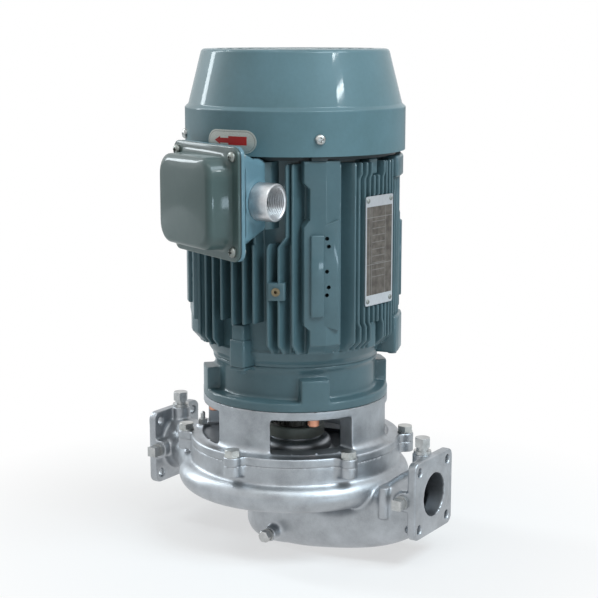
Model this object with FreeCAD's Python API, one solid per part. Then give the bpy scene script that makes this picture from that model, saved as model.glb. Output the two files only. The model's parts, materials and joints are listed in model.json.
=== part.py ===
import FreeCAD, Part
import math
import os

# In-line centrifugal pump: a cast casing with two square port flanges carries a bracket, and the
# bracket carries a fan-cooled motor on end. Millimetres, +Z up along the shaft, z = 0 at the flat
# foot under the casing, +X out of the suction port. Azimuths are counted in degrees from the
# front (-Y) towards +X.

V = FreeCAD.Vector
ORIGIN = V(0, 0, 0)
UP = V(0, 0, 1)
FRONT = V(0, -1, 0)
OUT = 5.0                      # how far a cutting tool runs past the face it opens
FIT = 0.1                      # clearance of a part that drops into a bore
RUN = 0.05                     # radial clearance of a running fit
SEAT = 0.05                    # gap between a turning face and the fixed face beside it

# Heights above the foot, from the bottom up
port_height = 64.0             # suction port axis
discharge_rise = 6.0           # discharge axis above the suction axis
volute_rise = 0.5              # middle of the volute above the suction axis
impeller_rise = 3.0            # middle of the impeller outlet above the suction axis
joint_rise = 29.5              # joint face of casing and bracket above the suction axis
bracket_foot_thickness = 8.0
bracket_height = 39.9          # from the top of the bracket foot to the motor face
motor_lip_height = 8.4
motor_ear_height = 28.6
drive_shield_height = 39.0     # from the motor face to the lower end of the frame
box_rise = 152.8               # terminal box centre above the lower end of the frame
box_to_frame_top = 33.8
rear_shield_height = 14.0
cover_gap = 3.7                # fan cover edge above the top of the frame
cover_band_height = 39.0
cover_shoulder_height = 3.3
cover_cone_height = 48.5

# Ports and flanges
port_reach = 150.0             # flange face from the shaft axis
port_radius = 20.0
port_bore_length = 22.0        # straight bore behind the suction face
flange_side = 72.0
flange_thickness = 8.0
flange_corner = 8.0
raised_face_radius = 28.0
raised_face_height = 0.6
flange_bolt_spacing = 53.0
flange_hole_radius = 4.2
boss_setback = 13.0            # gauge bosses behind the flange face
plug_radius = 4.8              # pipe plugs and the holes that take them
gauge_boss_radius = 9.0
gauge_boss_reach = 36.5        # from the port axis to the boss face

# Casing
bowl_radius = 46.0
bowl_corner = 18.0
bowl_wall = 5.0
floor_thickness = 5.5
volute_centre_radius = 97.3
volute_outer_radius = 12.5
volute_wall = 3.5
volute_shift = 1.5             # the volute circle is off the shaft axis by this much
volute_shift_azimuth = -57.0
rim_radius = 99.4
casing_bore = 90.0
counterbore_radius = 94.5
counterbore_depth = 4.0
nozzle_end_radius = 26.0
nozzle_start_azimuth = -32.0
ear_count = 6
ear_bolt_radius = 104.4
ear_radius = 8.0
casing_ear_height = 10.0
ear_root_half_width = 13.0
drain_x = 6.0
drain_height = 15.0
drain_boss_radius = 7.0
drain_boss_reach = 56.0
support_boss_x = 118.0
support_boss_y = -36.0
support_boss_radius = 5.5

# Cover and shaft seal
cover_plate_thickness = 6.0
cover_clearance = 2.0          # between an impeller shroud and the wall beside it
hub_radius = 34.0
hub_shoulder = 7.0
hub_rise = 34.5                # top of the cover hub above the suction axis
seal_chamber_radius = 21.0
seal_seat_radius = 18.5
seal_seat_depth = 9.0          # underside of the fixed ring below the top of the hub
seal_face_radius = 14.5
seal_face_height = 4.0
seal_sleeve_radius = 13.0
seal_head_height = 1.5
spring_wire_radius = 0.7
spring_turns = 3
gland_radius = 27.5
gland_height = 10.1
o_ring_width = 2.6
o_ring_height = 2.2

# Bracket
bracket_foot_opening = 66.0
bracket_outer = 87.3
bracket_inner = 69.0
bracket_ring_thickness = 7.9
bracket_bore = 60.0
window_count = 4
window_left_angle = 27.0       # of a window edge from its middle
window_right_angle = 24.0
window_first = 45.0

# Impeller
impeller_radius = 65.0
shroud_thickness = 3.0
outlet_width = 7.0
eye_radius = 21.0
skirt_radius = 25.0
skirt_depth = 17.0
wear_ring_outer = 29.0
wear_clearance = 0.25
impeller_hub_radius = 13.0
blade_count = 6
blade_thickness = 2.5
blade_sweep = 95.0

# Shaft
stud_radius = 5.0
impeller_seat_radius = 8.0
seal_seat_shaft_radius = 10.0
bearing_bore = 12.5
rotor_seat_radius = 15.0
fan_seat_radius = 9.0
key_width = 4.0
key_height = 4.0
key_length = 14.0
collar_radius = 22.0
collar_height = 20.0
collar_ribs = 28
collar_gap = 0.8               # above the gland

# Bearings, both the same
bearing_outer = 26.0
bearing_width = 15.0
ball_circle = 19.25
ball_radius = 3.97
ball_count = 9
groove_radius = 4.05
inner_land = 16.6
outer_land = 22.0
lower_bearing_rise = 15.0      # bearing underside above the motor face
upper_bearing_drop = 13.0      # bearing underside below the top of the frame

# Motor
barrel_radius = 82.0
barrel_wall = 7.0
fin_depth = 14.5
motor_lip_proud = 5.0          # flange lip outside the barrel
flange_bolt_inset = 9.5        # motor bolts inside the edge of the lip
neck_inset = 6.5               # neck of the drive shield inside the barrel
shield_rim_proud = 2.3         # rim of the drive shield outside the stator bore
shield_wall = 6.0
ear_half_width = 13.0
bearing_boss_radius = 33.0
oil_seal_radius = 18.0
rear_rim_proud = 10.5          # rims, lugs and bolts outside the barrel
rear_rim_height = 5.0
shield_bolt_proud = 5.5
fin_thickness = 3.2
front_fin_places = (-52.2, -40.0, -28.9, -17.8, -5.1, 6.8, 16.8, 29.6, 38.9, 49.8)
side_fin_places = (-52.4, -38.7, -34.5, -28.4, -22.6, -16.6, -10.5, -3.9, 2.3, 8.6, 14.9,
                   21.2, 27.5, 33.8, 40.1, 46.4)
fin_bottom_rise = 15.0         # fins start above the lower end of the frame
fin_top_drop = 3.0
fin_corner = 7.0               # cut off the lower outer corner of each fin
core_length = 90.0
core_rise = 48.0               # core underside above the lower end of the frame
stator_bore = 42.0
slot_count = 24
slot_width = 5.5
slot_depth = 16.0
coil_overhang = 20.0
air_gap = 0.4
rotor_ring_height = 8.0
rotor_ring_outer = 37.5
rotor_ring_inner = 24.0
pad_azimuths = (47.0, 137.0, 227.0, 317.0)
pad_proud = 0.7                # pads outside the fin tips, and their bars outside the pads
pad_bar_proud = 4.4
pad_slope = 0.07               # the left facet of a pad rises outwards by this, to the right
pad_fall = 0.21                # and the right facet falls back by this
pad_ridge = 2.75               # sideways place of the ridge between them
pad_right = 16.3               # sideways reach of a pad from its middle
pad_block_right = 14.5         # over the middle the left facet goes on as far as this
pad_block_bottom = 36.6        # lower end of that stretch above the lower end of the frame
pad_block_top = 130.6
pad_left = 16.8
pad_waist = 11.4
pad_slant = 5.0
pad_middle_bottom = 41.6       # middle block of a pad above the lower end of the frame
pad_middle_top = 130.6
pad_head_height = 20.0
pad_bar_left = 11.3
pad_bar_right = -0.7
pad_bar_bottom = 50.2
pad_bar_length = 72.2
pad_hole_radius = 1.8
pad_hole_rises = (19.0, 26.0, 40.0, 62.0, 69.0)
lug_azimuths = (-2.0, 178.0)
block_azimuths = (81.6, 261.6)  # short blocks at both ends of the frame, without screws
block_half_width = 6.0
block_height = 24.0
block_top_height = 16.5
lug_bolt_proud = 2.5
lug_half_width = 8.0
lug_proud = 10.5
lug_height = 38.5
lug_step = 1.5
lug_foot_height = 3.0          # of the shield's foot under a lug
side_lug_azimuth = 112.0
side_lug_half_angle = 11.5
side_lug_proud = 17.5
side_bolt_inset = 7.5
side_lug_bottom = 4.5          # above the lower end of the frame
side_lug_height = 35.0
side_lug_top_height = 20.0
cover_screw_rise = 15.0        # above the lower edge of the fan cover
shield_screw_offset = 9.0
earth_azimuth = 22.7
earth_height_rise = 72.2       # above the lower end of the frame
earth_pad_side = 16.0

# Fan and fan cover
fan_clearance = 7.5            # fan inside the upper edge of its cover
fan_plate_thickness = 2.5
fan_blade_height = 24.0
fan_blade_count = 8
fan_blade_thickness = 2.5
fan_hub_radius = 17.0
fan_gap = 6.0                  # fan plate above the rear shield
cover_proud = 19.2             # fan cover outside the barrel
cover_shoulder_step = 3.6
cover_taper = 15.7             # from the band in to the top edge
cover_sheet = 1.6
cover_top_round = 4.0
grille_rings = 6
grille_first_radius = 22.0
grille_pitch = 9.0
grille_slot = 5.0
grille_spokes = 6
grille_spoke_width = 7.0

# Terminal box; its lid faces lid_azimuth
lid_azimuth = -24.2
lid_proud = 33.0               # front of the lid rim outside the barrel
lid_shift = 33.3               # lid centre sideways along the lid
lid_width = 112.4
lid_height = 97.6
lid_corner = 9.0
lid_rim_thickness = 2.5
gasket_thickness = 0.8
box_rim_thickness = 4.2
dome_inset = 11.0
dome_depth = 24.0
dome_corner = 18.0
dome_edge = 9.0
dome_sheet = 2.5
lid_screw_spacing_x = 95.8
lid_screw_spacing_z = 80.6
box_side_x = 29.5              # wall that carries the conduit socket
box_back_proud = 11.0          # back of the box outside the barrel
box_wall = 3.5
box_top_reach = 41.5           # above the box centre at the rim
box_top_back = 36.0            # above the box centre at the motor
box_bottom_reach = 36.0
box_corner = 6.0
seat_half_height = 26.0
seat_top_drop = 1.0             # upper end of the seat below the upper end of the frame
seat_left_x = -45.0
lead_hole_radius = 12.0
conduit_proud = 22.5           # conduit axis outside the barrel
conduit_outer = 16.6
conduit_inner = 13.2
conduit_length = 17.5
conduit_relief = 1.0           # the hole in the box is wider than the bore of the socket
terminal_pitch = 13.0
terminal_row_pitch = 18.0
stud_length = 16.0

# Plates and labels
nameplate_azimuth = 84.0
nameplate_width = 41.0
nameplate_height = 98.0
nameplate_rise = 104.4         # centre above the lower end of the frame
nameplate_thickness = 0.8
label_azimuth = -0.9
label_width = 51.2
label_height = 20.0
label_rise = 12.4              # centre above the lower edge of the fan cover
label_thickness = 0.4

# Fasteners
m8_radius = 4.0
m8_flats = 13.0
m8_head = 5.3
m5_radius = 2.5
m5_flats = 8.0
m5_hex_head = 3.5
m5_head_radius = 4.6
m5_head = 3.2
pan_screw_length = 11.0
box_screw_length = 10.0
shield_screw_length = 12.0
side_screw_length = 20.0
lug_screw_length = 26.0
motor_bolt_length = 16.0
cap_screw_radius = 3.0
cap_head_radius = 5.2
cap_head = 7.3
cap_socket_flats = 5.0
washer_thickness = 1.2
washer_radius = 7.8
plug_flats = 13.0

# Radii and places that hang on the barrel
core_radius = barrel_radius - barrel_wall
motor_lip_radius = barrel_radius + motor_lip_proud
neck_radius = barrel_radius - neck_inset
shield_rim_radius = core_radius + shield_rim_proud
fin_tip_radius = barrel_radius + fin_depth
pad_radius = fin_tip_radius + pad_proud
pad_bar_radius = pad_radius + pad_bar_proud
lug_reach = barrel_radius + lug_proud
lug_bolt_radius = barrel_radius + lug_bolt_proud
side_lug_radius = barrel_radius + side_lug_proud
side_bolt_radius = side_lug_radius - side_bolt_inset
rear_rim_radius = barrel_radius + rear_rim_proud
shield_bolt_radius = barrel_radius + shield_bolt_proud
flange_bolt_radius = motor_lip_radius - flange_bolt_inset
cover_radius = barrel_radius + cover_proud
cover_shoulder_radius = cover_radius - cover_shoulder_step
cover_top_radius = cover_radius - cover_taper
fan_radius = cover_top_radius - fan_clearance
lid_distance = barrel_radius + lid_proud
box_back_y = -barrel_radius - box_back_proud
conduit_y = -barrel_radius - conduit_proud

# Levels worked out from the heights
discharge_height = port_height + discharge_rise
volute_height = port_height + volute_rise
impeller_height = port_height + impeller_rise
shroud_top = impeller_height + outlet_width / 2 + shroud_thickness
shroud_bottom = impeller_height - outlet_width / 2 - shroud_thickness
chamber_top = shroud_top + cover_clearance
chamber_floor = shroud_bottom - cover_clearance
floor_underside = chamber_floor - floor_thickness
joint_face = port_height + joint_rise
bracket_foot_top = joint_face + bracket_foot_thickness
motor_face = bracket_foot_top + bracket_height
window_top = motor_face - bracket_ring_thickness
lip_top = motor_face + motor_lip_height
ear_top = motor_face + motor_ear_height
frame_bottom = motor_face + drive_shield_height
frame_top = frame_bottom + box_rise + box_to_frame_top
shield_top = frame_top + rear_shield_height
cover_bottom = frame_top + cover_gap
band_top = cover_bottom + cover_band_height
cone_bottom = band_top + cover_shoulder_height
cover_top = cone_bottom + cover_cone_height
lower_bearing = motor_face + lower_bearing_rise
upper_bearing = frame_top - upper_bearing_drop
core_bottom = frame_bottom + core_rise
core_top = core_bottom + core_length
hub_top = port_height + hub_rise
gland_bottom = hub_top + 1.7
gland_top = gland_bottom + gland_height
collar_bottom = gland_top + collar_gap
fan_plate = shield_top + fan_gap
box_height = frame_bottom + box_rise
boss_x = port_reach - boss_setback
seal_seat_bottom = hub_top - seal_seat_depth
seal_face_top = seal_seat_bottom - SEAT
seal_face_bottom = seal_face_top - seal_face_height
seal_head_bottom = seal_face_bottom - seal_head_height
impeller_hub_top = chamber_top + 1.5
impeller_hub_bottom = shroud_bottom - 7.5
skirt_bottom = shroud_bottom - skirt_depth + shroud_thickness
nut_washer_bottom = impeller_hub_bottom - 1.5
nut_bottom = nut_washer_bottom - 8.0


def cylinder(radius, bottom, top, x=0.0, y=0.0):
    """A solid cylinder along Z."""
    return Part.makeCylinder(radius, top - bottom, V(x, y, bottom))


def ring(outer, inner, bottom, top):
    """A flat-ended tube about the shaft axis."""
    return cylinder(outer, bottom, top).cut(cylinder(inner, bottom - OUT, top + OUT))


def block(x0, x1, y0, y1, z0, z1):
    """A box between two corners."""
    return Part.makeBox(x1 - x0, y1 - y0, z1 - z0, V(x0, y0, z0))


def prism(points, bottom, top):
    """A polygon of (x, y) points carried up from bottom to top."""
    corners = [V(x, y, bottom) for x, y in points]
    face = Part.Face(Part.makePolygon(corners + corners[:1]))
    return face.extrude(V(0, 0, top - bottom))


def turned(profile):
    """A solid of revolution about Z from (r, z) points. A point written (rm, zm, r, z) is
    reached by an arc through (rm, zm)."""
    start = V(profile[0][-2], 0, profile[0][-1])
    edges = []
    for entry in profile[1:] + profile[:1]:
        end = V(entry[-2], 0, entry[-1])
        if len(entry) == 4:
            edges.append(Part.Arc(start, V(entry[0], 0, entry[1]), end).toShape())
        elif (end - start).Length > 1e-6:
            edges.append(Part.makeLine(start, end))
        start = end
    solid = Part.Face(Part.Wire(edges)).revolve(ORIGIN, UP, 360)
    if solid.Volume < 0:
        solid.reverse()
    return solid


def corner_arc(centre_r, centre_z, radius, angle):
    """The point of a quarter round at an angle from the outward direction."""
    a = math.radians(angle)
    return centre_r + radius * math.cos(a), centre_z + radius * math.sin(a)


def around(radius, azimuth, z=0.0):
    """The point at a radius and an azimuth."""
    a = math.radians(azimuth)
    return V(radius * math.sin(a), -radius * math.cos(a), z)


def turn(shape, azimuth):
    """A copy of a shape built at the front, carried round to an azimuth."""
    copy = shape.copy()
    copy.rotate(ORIGIN, UP, azimuth)
    return copy


def placed(shape, point, direction):
    """A copy of a shape built at the origin along +Z, moved to a point and turned to a direction."""
    copy = shape.copy()
    copy.Placement = FreeCAD.Placement(point, FreeCAD.Rotation(UP, direction))
    return copy


def joined(shapes):
    """Several overlapping solids made one."""
    return shapes[0].multiFuse(shapes[1:]).removeSplitter()


def rounded_plate(width, height, thickness, corner):
    """A plate in the XY plane, centred, with rounded corners, from z = 0 up."""
    plate = Part.makeBox(width, height, thickness, V(-width / 2, -height / 2, 0))
    upright = [e for e in plate.Edges if abs(e.tangentAt(e.FirstParameter).z) > 0.9]
    return plate.makeFillet(corner, upright)


def hexagon(flats, bottom, top):
    """A hexagon prism about Z with its top corners turned off."""
    reach = flats / math.sqrt(3)
    points = [(reach * math.cos(math.radians(60 * i)), reach * math.sin(math.radians(60 * i)))
              for i in range(6)]
    chamfer = reach - flats / 2
    limit = turned([(0, bottom), (reach + 1, bottom), (reach + 1, top - chamfer - 0.58),
                    (flats / 2, top), (0, top)])
    return prism(points, bottom, top).common(limit)


def hex_screw(radius, flats, head, length):
    """A hexagon-head screw: the head stands on z = 0 and the shank runs down."""
    return hexagon(flats, 0, head).fuse(cylinder(radius, -length, 0))


def pan_screw(radius, head_radius, head, length):
    """A cross-recessed pan-head screw: the head stands on z = 0 and the shank runs down."""
    dome = turned([(0, 0), (head_radius, 0), (head_radius, head * 0.45),
                   (head_radius * 0.8, head * 0.88, 0, head)])
    arm = head_radius * 0.55
    width = head_radius * 0.16
    slot = block(-arm, arm, -width, width, head * 0.45, head + 1)
    cross = slot.fuse(turn(slot, 90))
    return dome.fuse(cylinder(radius, -length, 0)).cut(cross)


def save(name, shapes):
    """Write one node, with each of its solids kept separate."""
    solids = [solid for shape in shapes for solid in shape.Solids]
    whole = solids[0] if len(solids) == 1 else Part.makeCompound(solids)
    whole.exportStep("parts/" + name + ".step")
    print(name, len(solids), round(sum(solid.Volume for solid in solids), 1))


# Casing

def section_wire(x, half_width, bottom, top, corner):
    """A rounded rectangle in the plane at x, as four sides and four corners."""
    plate = rounded_plate(2 * half_width, top - bottom, 1.0, corner)
    base = [face for face in plate.Faces if abs(face.CenterOfMass.z) < 1e-6][0]
    wire = base.OuterWire.copy()
    matrix = FreeCAD.Matrix(0, 0, 1, x, 1, 0, 0, 0, 0, 1, 0, (top + bottom) / 2, 0, 0, 0, 1)
    return wire.transformGeometry(matrix)


def suction_body(wall):
    """The passage from the suction flange down under the volute, set in from the outside by
    wall. Its stations are (x, half width, bottom, top, corner radius) of the outside."""
    drop = port_height
    stations = [
        (10.0, bowl_radius - 1.0, drop - 63.2, drop - 11.0, 17.9),
        (50.0, bowl_radius - 1.5, drop - 60.6, drop - 11.0, 17.5),
        (85.0, 43.0, drop - 55.0, drop - 8.0, 17.0),
        (115.0, 38.0, drop - 48.0, drop + 12.0, 17.0),
        (port_reach - flange_thickness - raised_face_height, 30.0, drop - 35.0, drop + 27.0, 16.0),
    ]
    wires = []
    for x, half, bottom, top, corner in stations:
        wires.append(section_wire(x, half - wall, bottom + wall, top - wall, corner - wall))
    return Part.makeLoft(wires, True, False)


def suction_passage():
    """The water way from the suction bore to the bowl under the impeller eye."""
    drop = port_height
    stations = [
        (10.0, bowl_radius - bowl_wall - 1.0, 5.8, floor_underside - 2.0, 13.0),
        (50.0, bowl_radius - bowl_wall - 2.0, 9.0, floor_underside - 3.5, 14.0),
        (92.0, 34.0, floor_underside - 35.0, floor_underside - 6.0, 14.0),
        (118.0, 25.0, drop - 36.0, drop - 1.0, 16.0),
        (134.0, port_radius - 0.5, drop - port_radius + 0.5, drop + port_radius - 0.5,
         port_radius - 0.52),
    ]
    way = Part.makeLoft([section_wire(*station) for station in stations], True, False)
    bore = Part.makeCylinder(port_radius, port_reach,
                             V(port_reach - port_bore_length, 0, port_height), V(1, 0, 0))
    return [way, bore]


def nozzle_path(step):
    """Point and direction of the discharge nozzle at 0 (volute) to 1 (flange): a cubic that
    leaves the volute along its circle and ends square to the flange."""
    start = around(volute_centre_radius, nozzle_start_azimuth, volute_height)
    tangent = around(1.0, nozzle_start_azimuth - 90.0)
    end = V(-(port_reach - flange_thickness), 0, discharge_height)
    points = [start, start + tangent * 36.0, end + V(46.0, 0, 0), end]
    rest = 1.0 - step
    weights = [rest ** 3, 3 * rest ** 2 * step, 3 * rest * step ** 2, step ** 3]
    slopes = [rest ** 2, 2 * rest * step, step ** 2]
    point = V(0, 0, 0)
    for weight, control in zip(weights, points):
        point = point + control * weight
    direction = V(0, 0, 0)
    for slope, first, second in zip(slopes, points[:-1], points[1:]):
        direction = direction + (second - first) * slope
    return point, direction.normalize()


def nozzle_loft(start_radius, end_radius):
    """A round duct along the nozzle path whose radius grows from start to end."""
    wires = []
    for i in range(7):
        step = i / 6.0
        point, direction = nozzle_path(step)
        grown = start_radius + (end_radius - start_radius) * (3 * step ** 2 - 2 * step ** 3)
        wires.append(Part.Wire(Part.makeCircle(grown, point, direction)))
    return Part.makeLoft(wires, True, False)


def volute_ring(radius):
    """The volute as a round ring a little off the shaft axis."""
    shift = around(volute_shift, volute_shift_azimuth, volute_height)
    return Part.makeTorus(volute_centre_radius, radius, shift, UP)


def port_flange(side):
    """A square port flange with a raised face, on the +X side (side = 1) or the -X side."""
    height = port_height if side > 0 else discharge_height
    plate = rounded_plate(flange_side, flange_side, flange_thickness, flange_corner)
    face = cylinder(raised_face_radius, 0, flange_thickness + raised_face_height)
    flange = plate.fuse(face)
    back = V(side * (port_reach - flange_thickness - raised_face_height), 0, height)
    return placed(flange, back, V(side, 0, 0))


def flange_holes(side):
    """The four bolt holes of a port flange."""
    height = port_height if side > 0 else discharge_height
    half = flange_bolt_spacing / 2
    start = side * (port_reach - flange_thickness - OUT)
    return [Part.makeCylinder(flange_hole_radius, flange_thickness + 2 * OUT,
                              V(start, y, height + z), V(side, 0, 0))
            for y in (-half, half) for z in (-half, half)]


def gauge_bosses(side):
    """The upper and the front gauge boss of one port."""
    height = port_height if side > 0 else discharge_height
    x = side * boss_x
    upper = cylinder(gauge_boss_radius, height, height + gauge_boss_reach, x, 0)
    front = Part.makeCylinder(gauge_boss_radius, gauge_boss_reach, V(x, 0, height), FRONT)
    return [upper, front]


def gauge_holes(side):
    """The tapped holes of the gauge bosses, down to the water way."""
    height = port_height if side > 0 else discharge_height
    x = side * boss_x
    upper = cylinder(plug_radius, height, height + gauge_boss_reach + OUT, x, 0)
    front = Part.makeCylinder(plug_radius, gauge_boss_reach + OUT, V(x, 0, height), FRONT)
    return [upper, front]


def ear(reach_from, radius, bottom, top):
    """One bolt ear at the front: a boss round the bolt with flanks running back to the rim."""
    y = -ear_bolt_radius
    boss = cylinder(radius, bottom, top, 0, y)
    flanks = prism([(-ear_root_half_width, -reach_from), (ear_root_half_width, -reach_from),
                    (radius * 0.93, y + 1.0), (radius * 0.6, y - radius * 0.55),
                    (-radius * 0.6, y - radius * 0.55), (-radius * 0.93, y + 1.0)], bottom, top)
    return boss.fuse(flanks)


def ear_azimuths():
    """Azimuths of the casing bolts."""
    return [360.0 / ear_count * i for i in range(ear_count)]


def volute_casing():
    """The cast casing: suction flange and passage, bowl, volute, rim, nozzle and flange."""
    bowl_round = corner_arc(bowl_radius - bowl_corner, bowl_corner, bowl_corner, -45)
    torus_low = volute_height - volute_outer_radius
    body = turned([
        (0, 0), (bowl_radius - bowl_corner, 0), bowl_round + (bowl_radius, bowl_corner),
        (bowl_radius, floor_underside), (volute_centre_radius - 9.0, floor_underside),
        (volute_centre_radius, torus_low + 0.5), (rim_radius, volute_height),
        (rim_radius, joint_face), (0, joint_face)])
    outside = [body, volute_ring(volute_outer_radius), suction_body(0.0),
               nozzle_loft(volute_outer_radius - 0.3, nozzle_end_radius),
               port_flange(1), port_flange(-1)]
    outside += gauge_bosses(1) + gauge_bosses(-1)
    ear_bottom = joint_face - casing_ear_height
    outside += [turn(ear(rim_radius - 3.0, ear_radius, ear_bottom, joint_face), a)
                for a in ear_azimuths()]
    drain = Part.makeCylinder(drain_boss_radius, drain_boss_reach - 20.0,
                              V(drain_x, -20.0, drain_height), FRONT)
    support = cylinder(support_boss_radius, port_height - 18.0, port_height + 11.0,
                       support_boss_x, support_boss_y)
    outside += [drain, support]
    casing = joined(outside)

    chamber = cylinder(casing_bore + 2.0, chamber_floor, chamber_top)
    bore = cylinder(casing_bore, chamber_floor, joint_face + OUT)
    counterbore = cylinder(counterbore_radius, joint_face - counterbore_depth, joint_face + OUT)
    eye = cylinder(wear_ring_outer, 20.0, chamber_floor + OUT)
    bowl_inside = bowl_radius - bowl_wall
    inner_corner = bowl_corner - bowl_wall
    bowl_low = corner_arc(bowl_inside - inner_corner, bowl_wall + inner_corner, inner_corner, -45)
    bowl = turned([(0, bowl_wall), (bowl_inside - inner_corner, bowl_wall),
                   bowl_low + (bowl_inside, bowl_wall + inner_corner),
                   (bowl_inside, skirt_bottom - 4.0), (0, skirt_bottom - 4.0)])
    hollow = [chamber, bore, counterbore, eye, bowl,
              volute_ring(volute_outer_radius - volute_wall),
              nozzle_loft(volute_outer_radius - volute_wall, port_radius)]
    hollow += suction_passage()
    hollow.append(Part.makeCylinder(port_radius, 20.0, V(-port_reach - OUT, 0, discharge_height),
                                    V(1, 0, 0)))
    hollow += flange_holes(1) + flange_holes(-1) + gauge_holes(1) + gauge_holes(-1)
    hollow += [turn(cylinder(m8_radius, joint_face - casing_ear_height - OUT, joint_face + OUT,
                             0, -ear_bolt_radius), a) for a in ear_azimuths()]
    hollow.append(Part.makeCylinder(plug_radius, drain_boss_reach,
                                    V(drain_x, -30.0, drain_height), FRONT))
    return casing.cut(hollow)


def casing_wear_ring():
    """The renewable ring round the impeller eye."""
    return ring(wear_ring_outer, skirt_radius + wear_clearance, skirt_bottom - 2.0, chamber_floor)


def wear_ring_seat():
    """The wall of the casing that holds the wear ring, hanging under the chamber floor."""
    return ring(wear_ring_outer + 5.0, wear_ring_outer, skirt_bottom - 4.0, floor_underside + 1.0)


def casing_plugs():
    """Hexagon plugs of the two upper gauge bosses, with their collars."""
    plug = cylinder(8.0, 0, 3.0).fuse(cylinder(5.6, 3.0, 6.5))
    plug = plug.fuse(hexagon(plug_flats, 6.5, 15.0)).fuse(cylinder(plug_radius, -10.0, 0))
    return [placed(plug, V(side * boss_x, 0, height + gauge_boss_reach), UP)
            for side, height in ((1, port_height), (-1, discharge_height))]


def square_plugs():
    """Square-head plugs of the two front gauge bosses."""
    head = block(-4.6, 4.6, -4.6, 4.6, 3.0, 12.0)
    plug = cylinder(6.5, 0, 3.0).fuse(head).fuse(cylinder(plug_radius, -10.0, 0))
    return [placed(plug, V(side * boss_x, -gauge_boss_reach, height), FRONT)
            for side, height in ((1, port_height), (-1, discharge_height))]


def drain_plug():
    """The plug at the bottom of the bowl."""
    plug = cylinder(6.0, 0, 2.0).fuse(hexagon(10.0, 2.0, 8.5)).fuse(cylinder(plug_radius, -8, 0))
    return placed(plug, V(drain_x, -drain_boss_reach, drain_height), FRONT)


# Cover and seal

def casing_cover():
    """The plate that closes the casing, with the hub that holds the shaft seal."""
    spigot = casing_bore - FIT
    rim = counterbore_radius - FIT
    rim_bottom = joint_face - counterbore_depth
    web_top = chamber_top + cover_plate_thickness
    shoulder = corner_arc(hub_radius - hub_shoulder, hub_top - hub_shoulder, hub_shoulder, 45)
    cover = turned([
        (0, chamber_top), (spigot, chamber_top), (spigot, rim_bottom), (rim, rim_bottom),
        (rim, joint_face), (spigot - 6.0, joint_face), (spigot - 8.0, web_top + 2.0),
        (spigot - 14.0, web_top), (hub_radius + 6.0, web_top + 1.0),
        (hub_radius, web_top + 6.0), (hub_radius, hub_top - hub_shoulder),
        shoulder + (hub_radius - hub_shoulder, hub_top),
        (gland_radius - 2.5, hub_top), (gland_radius - 2.5, gland_bottom), (0, gland_bottom)])
    groove = ring(casing_bore + 3.6, casing_bore + 3.6 - o_ring_width, rim_bottom - 1.0,
                  rim_bottom + o_ring_height)
    return cover.cut([cylinder(seal_chamber_radius, chamber_top - OUT, seal_seat_bottom),
                      cylinder(seal_seat_radius, seal_seat_bottom - 1.0, hub_top - 1.0),
                      cylinder(seal_seat_shaft_radius + 2.0, hub_top - 2.0, gland_bottom + OUT),
                      groove])


def casing_o_ring():
    """The rubber ring between the cover and the casing."""
    outer = casing_bore + 3.6
    bottom = joint_face - counterbore_depth
    return ring(outer, outer - o_ring_width, bottom, bottom + o_ring_height)


def seal_seat():
    """The fixed ceramic ring of the shaft seal."""
    return ring(15.0, seal_seat_shaft_radius + 0.8, seal_seat_bottom, hub_top - 2.0)


def seal_seat_cup():
    """The rubber cup that holds the fixed ring in the cover."""
    wall = ring(seal_seat_radius, 15.0, hub_top - 8.5, hub_top - 1.0)
    return wall.fuse(ring(seal_seat_radius, seal_seat_shaft_radius + 2.0, hub_top - 2.0,
                          hub_top - 1.0))


def seal_face_ring():
    """The turning carbon ring that runs on the fixed ring."""
    return ring(seal_face_radius, seal_seat_shaft_radius + 0.5, seal_face_bottom, seal_face_top)


def seal_bellows():
    """The rubber sleeve that turns the carbon ring with the shaft."""
    head = ring(seal_face_radius, seal_seat_shaft_radius, seal_head_bottom, seal_face_bottom)
    sleeve = ring(seal_sleeve_radius, seal_seat_shaft_radius, impeller_hub_top, seal_head_bottom)
    return sleeve.fuse(head)


def seal_spring():
    """The coil spring that presses the seal faces together: round wire lofted up a helix."""
    low = impeller_hub_top + spring_wire_radius + SEAT
    high = seal_head_bottom - spring_wire_radius - SEAT
    mean = seal_sleeve_radius + spring_wire_radius + 3 * SEAT
    climb = (high - low) / (2 * math.pi * mean * spring_turns)
    wires = []
    steps = spring_turns * 12
    for i in range(steps + 1):
        azimuth = 360.0 * spring_turns * i / steps
        centre = around(mean, azimuth, low + (high - low) * i / steps)
        along = around(1.0, azimuth + 90.0) + UP * climb
        wires.append(Part.Wire(Part.makeCircle(spring_wire_radius, centre, along)))
    return Part.makeLoft(wires, True, False)


def seal_gland():
    """The steel ring that closes the top of the cover hub."""
    return turned([
        (seal_seat_shaft_radius + 2.0, gland_bottom), (gland_radius - 0.6, gland_bottom),
        (gland_radius, gland_bottom + 0.6), (gland_radius, gland_top - 1.0),
        (gland_radius - 1.0, gland_top), (gland_radius - 4.0, gland_top),
        (gland_radius - 5.0, gland_top - 2.0), (seal_seat_shaft_radius + 2.0, gland_top - 2.0)])


# Bracket

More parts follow.
